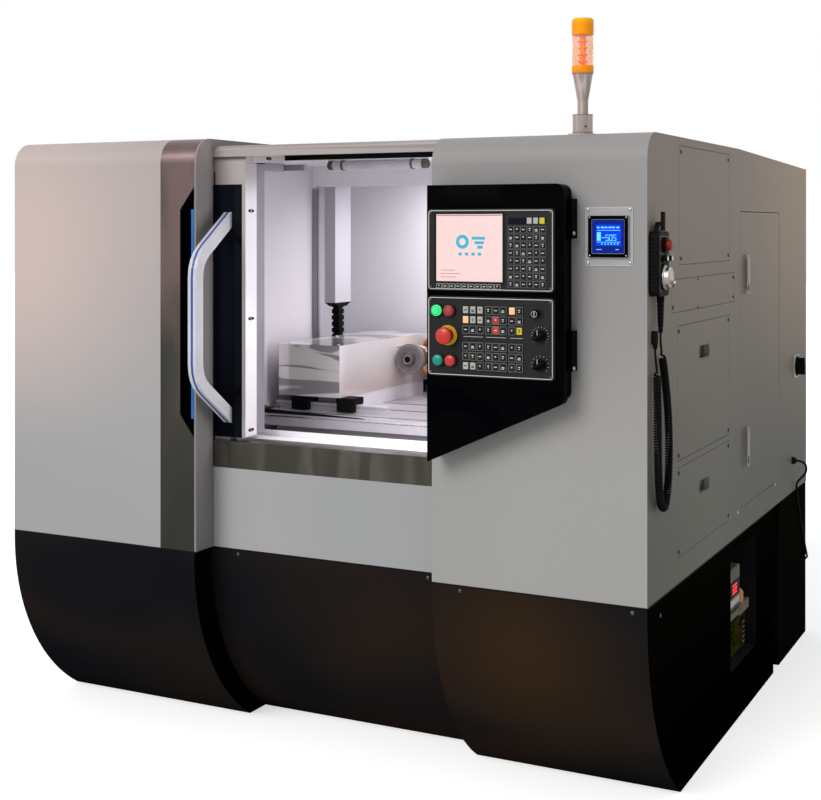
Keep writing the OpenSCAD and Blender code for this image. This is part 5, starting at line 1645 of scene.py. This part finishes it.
column = turned(lamp_foot, (0, 0, 1), [(0.0072, 0.0180), (0.0072, lens_h - 0.0405)], 16)
discs = [turned((lamp_x, lens_y, lens_low.z + z), (0, 0, 1),
                [(0.0105, 0), (0.0112, 0.0006), (0.0112, 0.0034), (0.0105, 0.004)], 24)
         for z in (0.026, 0.042, 0.058, 0.074)]
piece(join([column] + discs), "lens_column", amber_solid)
stand_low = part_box("lamp_stand")[0]
seams = ((0.0480, 0.0240), (0.0056, 0.0240), (0.1452, 0.0238))
piece(join([band((lamp_x, lens_y, stand_low.z + z), (0, 0, 1), r - 0.0004, r + 0.0007, 0, 0.0016,
                 48) for z, r in seams]),
      "stand_seams", key_edge)
SCREW_TURN = 0.62
screws("stand_screws", [(lamp_x + 0.0235 * math.sin(SCREW_TURN),
                         lens_y - 0.0235 * math.cos(SCREW_TURN), stand_low.z + 0.020)],
       (0.58, -0.81, 0), screw_metal, "black_plastic", radius=0.0030, height=0.0016)

# %% [markdown]
# ## The hand pendant
# The pendant is a black moulded grip with ribs on its edge. On its face are a
# stop button in a collar, two selectors with bright caps, and a hand wheel with
# a graduated rim and a gold centre.
# %% Face line, stop collar and dial bezel
grip_low, grip_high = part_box("pendant_body")
grip_x = grip_high.x
dial_low, dial_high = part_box("pendant_dial")
_, dial_y, dial_z = middle_of("pendant_dial")
face_plate = plate_line((dial_y - 0.0330, dial_z - 0.031), (dial_y + 0.0330, dial_z + 0.094), 0,
                        0.006, 0.0012, 0.0006)
piece(to_right(face_plate, grip_x), "pendant_face_line", key_edge)
stop_at = (grip_x, *middle_of("pendant_stop").yz)
piece(band(stop_at, (1, 0, 0), 0.0135, 0.0178, 0, 0.0046, 40), "pendant_stop_collar",
      black_plastic)
dial_at = (grip_x, dial_y, dial_z)
piece(band(dial_at, (1, 0, 0), 0.0286, 0.0322, 0, 0.0030, 56), "dial_bezel", rubber)

# %% [markdown]
# ### Hand dial
# The dial is one turned shape with a small crank joined to it, and it stands for
# the frame's dial. The ticks are one fine bar, copied around the rim every nine
# degrees.
# %% Dial, centre and ticks
TICK_TURN = 9
piece(turned((grip_x + 0.0168, dial_y, dial_z), (1, 0, 0),
             [(0.0185, 0), (0.0190, 0.0006), (0.0182, 0.0014), (0.0150, 0.0014),
              (0.0146, 0.0009)], 48), "dial_centre", dial_gold, "dial")
tick = rounded((-0.00022, -0.0004, 0.0244), (0.00022, 0.0004, 0.0274), 0.0001, 1)
tick = to_right(tick, grip_x + 0.0060)
around = Matrix.Translation((0, dial_y, dial_z))
piece(copies(tick, [around @ Matrix.Rotation(math.radians(a), 4, "X")
                     for a in range(0, 360, TICK_TURN)]),
      "dial_ticks", key_face, "dial")
dial_r = (dial_high.z - dial_low.z) / 2
dial = turned((grip_x, dial_y, dial_z), (1, 0, 0),
              [(dial_r - 0.0006, 0.0005), (dial_r, 0.0011), (dial_r, 0.0046), (0.0256, 0.0060),
               (0.0240, 0.0068), (0.0232, 0.0148), (0.0205, 0.0168)], 64)
crank = turned((grip_x + 0.0160, dial_y + 0.004, dial_z - 0.012), (1, 0, 0),
               [(0.0030, 0), (0.0030, 0.0022), (0.0046, 0.0028), (0.0050, 0.0040),
                (0.0046, 0.0086), (0.0034, 0.0094)], 24)
dial = piece(join([dial, crank]), "dial_body", satin_metal, "dial")
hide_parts("pendant_dial")

# %% Selectors
for name, body in (("pendant_axis_knob", "axis_knob"), ("pendant_step_knob", "step_knob")):
    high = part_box(name)[1]
    _, y, z = middle_of(name)
    cap = turned((high.x - 0.0004, y, z), (1, 0, 0),
                 [(0.0052, 0), (0.0056, 0.0006), (0.0050, 0.0014)], 20)
    nib = rounded((high.x - 0.0006, y - 0.0009, z), (high.x + 0.0007, y + 0.0009, z + 0.0082),
                  0.0003, 1)
    piece(join([cap, nib]), body + "_cap", satin_metal, body)
    mark = to_right(rounded((-0.0003, -0.0007, 0.0102), (0.0003, 0.0002, 0.0122), 0.0001, 1),
                    grip_x)
    here = Matrix.Translation((0, y, z))
    piece(copies(mark, [here @ Matrix.Rotation(math.radians(a), 4, "X")
                        for a in (-60, -30, 0, 30, 60)]), body + "_scale", white_ink)

# %% [markdown]
# ### Grip, boot and hook
# Ribs on the grip's edge and on the cord's boot are one shape repeated. The
# boot's rings get narrower towards the cord. A rubber sleeve covers the hook.
# %% Ribs, boot rings and hook sleeve
BOOT_PITCH, BOOT_TAPER = 0.0088, 0.00038
rib = rounded((grip_low.x + 0.005, grip_low.y - 0.0010, 0),
              (grip_x - 0.004, grip_low.y + 0.0010, 0.0030), 0.0008)
piece(copies(rib, [(0, 0, z / 1000) for z in range(1228, 1346, 9)]), "grip_ribs", rubber)
boot_x, boot_y = grip_low.x + 0.012, dial_y + 0.012
boot_top = dial_z - 0.043
piece(join([band((boot_x, boot_y, boot_top - 0.006 - BOOT_PITCH * i), (0, 0, 1),
                 0.0082 - BOOT_TAPER * i, 0.0094 - BOOT_TAPER * i, 0, 0.0034, 24)
            for i in range(8)]),
      "boot_ribs", rubber)
piece(rounded((grip_high.x - 0.0050, dial_y - 0.0116, grip_high.z - 0.0215),
              (grip_high.x + 0.0022, dial_y + 0.0036, grip_high.z + 0.0226), 0.0012),
      "hook_sleeve", rubber)
screws("pendant_screws", [(grip_x, dial_y + a * 0.0285, dial_z + 0.089) for a in (-1, 1)],
       (1, 0, 0), screw_metal, "black_plastic", radius=0.0022, height=0.0012)

# %% [markdown]
# ### Cord clamp and glands
# The coiled cord ends in a small clamp on the wall, and the supply cable in a
# gland at each end: a flange, a hexagon nut and a cone. Both are placed from the
# ends of the cords' own routes, so that they meet exactly.
# %% Cord clamp and glands
clip_x, clip_y, clip_z = (v / 1000 for v in CORD_ROUTE[-1])
clamp = rounded((side, clip_y - 0.0055, clip_z + 0.010),
                (clip_x + 0.0065, clip_y + 0.0055, clip_z + 0.041), 0.003, 3)
neck = turned((clip_x, clip_y, clip_z + 0.0002), (0, 0, 1),
              [(0.0042, 0), (0.0050, 0.0010), (0.0060, 0.0110), (0.0055, 0.0125)], 24)
clamp = piece(join([clamp, neck]), "cord_clamp", rubber)
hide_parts("cable_glands")
start, end = (Vector(v) / 1000 for v in (CABLE_ROUTE[0], CABLE_ROUTE[-1]))
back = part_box("base_rear")[1].y
FLANGE = [(0.0125, 0), (0.0125, 0.0030), (0.0120, 0.0034)]
NUT = [(0.0105, 0.0030), (0.0110, 0.0036), (0.0110, 0.0090), (0.0104, 0.0096)]
CONE = [(0.0092, 0.0094), (0.0086, 0.0115), (0.0050, 0.0139)]
exits = (((side, start.y, start.z), (1, 0, 0)), ((end.x, back, end.z), (0, 1, 0)))
glands = [turned(at, facing, steps, sides) for at, facing in exits
          for steps, sides in ((FLANGE, 32), (NUT, 6), (CONE, 32))]
piece(join(glands), "gland_bodies", rubber)

# %% [markdown]
# ## The right side
# The service covers have a shallow pull behind each finger slot. A thin rim lies
# around the slot and a rounded ring inside it, which gives the opening its soft
# corners.
# %% Finger slots
SLOT_AT = [(-0.460, 1.033), (-0.460, 0.690)]
SLOT_SIZE = (0.102, 0.040)
pulls, rims = [], []


def slot_ring(y, z, grow, corner, line, deep, x):
    """A rounded ring around a finger slot, grown by a margin, at a depth x."""
    ring = plate_line((y - grow, z - grow), (y + SLOT_SIZE[0] + grow, z + SLOT_SIZE[1] + grow), 0,
                      corner, line, deep)
    return to_right(ring, x)


for y, z in SLOT_AT:
    pulls.append(rounded((side - 0.0220, y - 0.008, z - 0.008),
                         (side - 0.0212, y + SLOT_SIZE[0] + 0.008, z + SLOT_SIZE[1] + 0.008),
                         0.0003))
    pulls.append(slot_ring(y, z, 0.0030, 0.0100, 0.0028, 0.0073, side - 0.0213))
    rims.append(slot_ring(y, z, 0.0016, 0.0090, 0.0016, 0.0005, side))
    rims.append(slot_ring(y, z, 0.0030, 0.0180, 0.0070, 0.0012, side - 0.0018))
piece(join(pulls), "slot_pulls", pull_plastic)
piece(join(rims), "slot_rims", side_paint)

# %% [markdown]
# ### Cabinet latches
# The cabinet door has two long latches, each with an outline, a raised hood and
# a round lock. They ride the cabinet door and swing with it.
# %% Cabinet latches
latches, locks, hoods = [], [], []
for z in (0.692, 1.181):
    latches.append(to_right(plate_line((0.0125, z + 0.001), (0.0435, z + 0.111), 0, 0.012, 0.0045,
                                       0.0012), side + CABINET_PROUD))
    hoods.append(rounded((side + 0.0088, 0.0200, z + 0.030), (side + 0.0118, 0.0360, z + 0.102),
                         0.0014, 3))
    locks.append(turned((side + CABINET_PROUD, 0.028, z + 0.016), (1, 0, 0),
                        [(0.0068, 0), (0.0068, 0.0018), (0.0055, 0.0026), (0.0022, 0.0026),
                         (0.0022, 0.0010)], 24))
piece(join(latches + hoods), "latch_plates", latch_metal, "cabinet")
piece(join(locks), "latch_locks", screw_metal, "cabinet")

# %% [markdown]
# ### Main switch
# The switch has a dark collar on its plate, four screws and a white pointer,
# which rides the knob.
# %% Main switch
switch_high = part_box("isolator_plate")[1]
_, switch_y, switch_z = middle_of("isolator_plate")
knob_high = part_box("isolator_knob")[1]
piece(band((switch_high.x, switch_y, switch_z), (1, 0, 0), 0.0276, 0.0325, 0, 0.0028, 48),
      "isolator_collar", black_plastic)
screws("isolator_screws", [(switch_high.x, switch_y + a * 0.0315, switch_z + b * 0.0315)
                           for a in (-1, 1) for b in (-1, 1)], (1, 0, 0), bright_screw,
       "satin_metal", radius=0.0030, height=0.0016)
piece(rounded((knob_high.x - 0.0004, switch_y - 0.0011, switch_z + 0.006),
              (knob_high.x + 0.0004, switch_y + 0.0011, switch_z + 0.025), 0.0003, 1),
      "isolator_pointer", white_ink, "isolator")

# %% [markdown]
# ### Lubricator
# The pump stands near the mouth of its recess: a grey case with a red lit
# counter, a label plate and a row of keys, an orange filler cap beside it and
# the smoky tank below.
# %% Pump case, counter and keys
face_x = side - 0.017
case = rounded((face_x - 0.090, -0.100, 0.268), (face_x, 0.037, 0.412), 0.004, 3)
piece(case, "lube_case", lube_paint)
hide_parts("lubricator")
window = rounded((face_x - 0.001, -0.094, 0.332), (face_x + 0.0012, 0.030, 0.376), 0.001)
piece(window, "lube_window", panel_gloss)
count = to_right(digits("808", 0.024, 0.0025), face_x + 0.0016)
count.data.transform(Matrix.Translation((0, -0.052, 0.342)))
piece(count, "lube_count", red_digit)
label = rounded((face_x - 0.001, -0.094, 0.308), (face_x + 0.0010, 0.030, 0.326), 0.0006)
piece(label, "lube_label", pale_key)
strip = rounded((face_x - 0.001, -0.094, 0.288), (face_x + 0.0012, 0.030, 0.302), 0.0006)
buttons = [turned((face_x + 0.0012, y, 0.295), (1, 0, 0), [(0.0045, 0), (0.0045, 0.0012),
                                                           (0.0036, 0.0018)], 18)
           for y in (-0.060, -0.038, -0.016, 0.006)]
piece(join([strip] + buttons), "lube_keys", key_face)

# %% Filler, bracket, tank and pipe
filler = turned((face_x - 0.018, 0.070, 0.292), (0, 0, 1),
                [(0.0180, 0), (0.0195, 0.002), (0.0195, 0.028), (0.0160, 0.036), (0.0110, 0.040)],
                24)
piece(filler, "lube_filler", orange_coat)
foot = rounded((face_x - 0.085, 0.030, 0.262), (face_x + 0.002, 0.140, 0.292), 0.004, 3)
piece(foot, "lube_bracket", lube_paint)
tank = rounded((face_x - 0.095, -0.096, 0.158), (face_x - 0.002, 0.112, 0.264), 0.010, 4)
piece(tank, "lube_tank", smoke_clear)
LEVEL_STEP = 0.014
levels = [rounded((face_x - 0.0025, 0.078, 0.176 + LEVEL_STEP * i),
                  (face_x - 0.0012, 0.098, 0.178 + LEVEL_STEP * i), 0.0003, 1) for i in range(5)]
piece(join(levels), "lube_levels", key_line)
feed = tube("lube_line", smooth_route([Vector(p) for p in (
    (face_x - 0.060, 0.040, 0.438), (face_x - 0.060, 0.046, 0.452), (face_x - 0.066, 0.070, 0.462),
    (face_x - 0.080, 0.120, 0.466), (face_x - 0.100, 0.155, 0.466))], 6), 0.006, brass)
piece(as_mesh(feed), "lube_line", brass)
print("pieces made", len(pieces_made))

# %% [markdown]
# ## Floor and light
# A plain pale floor and a white surround keep the object readable. The floor
# glows only for the camera, so that it stays pale without lighting the base.
# %% Floor
FLOOR_SIZE, FLOOR_GLOW = 60, 0.58
floor = add("plane", (0, 0, -0.0005), size=FLOOR_SIZE)
floor.name = "floor"
bpy.ops.object.transform_apply(location=True, rotation=False, scale=False)
floor_paint = finish("floor_paint", (0.86, 0.86, 0.86), (0.84, 0.84, 0.84), (0.6, 0.8),
                     Specular_IOR_Level=0.05)
tree = floor_paint.node_tree
rays = tree.nodes.new("ShaderNodeLightPath")
tree.nodes["Principled BSDF"].inputs["Emission Color"].default_value = (1, 1, 1, 1)
tree.links.new(math_node(tree, "MULTIPLY", rays.outputs["Is Camera Ray"], FLOOR_GLOW),
               tree.nodes["Principled BSDF"].inputs["Emission Strength"])
floor.data.materials.append(floor_paint)
print("floor", FLOOR_SIZE, "m wide, camera glow", FLOOR_GLOW)

# %% [markdown]
# ### Surround and lamps
# One broad sun from the front left lights the fronts and leaves the right side
# in shade. The chamber has a lamp under its roof and one in the doorway, and a
# weak one reaches into the pump's recess.
# %% Surround
ROOM_LIGHT, ROOM_SEEN = 0.46, 1.0
world = bpy.data.worlds.new("surround")
bpy.context.scene.world = world
world.use_nodes = True
tree = world.node_tree
rays = tree.nodes.new("ShaderNodeLightPath")
seen = math_node(tree, "MAXIMUM", rays.outputs["Is Camera Ray"],
                 math_node(tree, "MAXIMUM", rays.outputs["Is Glossy Ray"],
                           rays.outputs["Is Transmission Ray"]))
tree.links.new(spread(tree, seen, 0, 1, ROOM_LIGHT, ROOM_SEEN),
               tree.nodes["Background"].inputs["Strength"])
tree.nodes["Background"].inputs["Color"].default_value = (1, 1, 1, 1)
print("surround strength", ROOM_LIGHT, "and seen", ROOM_SEEN)

# %% Lamps


def lamp(name, kind, at, towards, **values):
    """A lamp at a place, aimed along a direction."""
    data = bpy.data.lights.new(name, kind)
    for label, value in values.items():
        setattr(data, label, value)
    obj = bpy.data.objects.new(name, data)
    obj.location = at
    obj.rotation_euler = Vector(towards).to_track_quat("-Z", "Y").to_euler()
    bpy.context.scene.collection.objects.link(obj)


lamp("key", "SUN", (-3, -5, 4), (0.30, 0.80, -0.50), energy=1.75, angle=math.radians(35))
lamp("chamber", "AREA", (0.12, -0.06, 1.50), (0, 0.16, -1), energy=4.6,
     shape="RECTANGLE", size=0.50, size_y=0.34)
lamp("doorway", "AREA", (0.35, -0.68, 1.16), (-1, 0.16, -0.05), energy=2.5,
     shape="RECTANGLE", size=0.16, size_y=0.60)
lamp("recess", "AREA", (1.45, -0.40, 0.45), (-1, 0.55, -0.12), energy=0.55,
     shape="RECTANGLE", size=0.25, size_y=0.25)
print("lamps", len(bpy.data.lights))
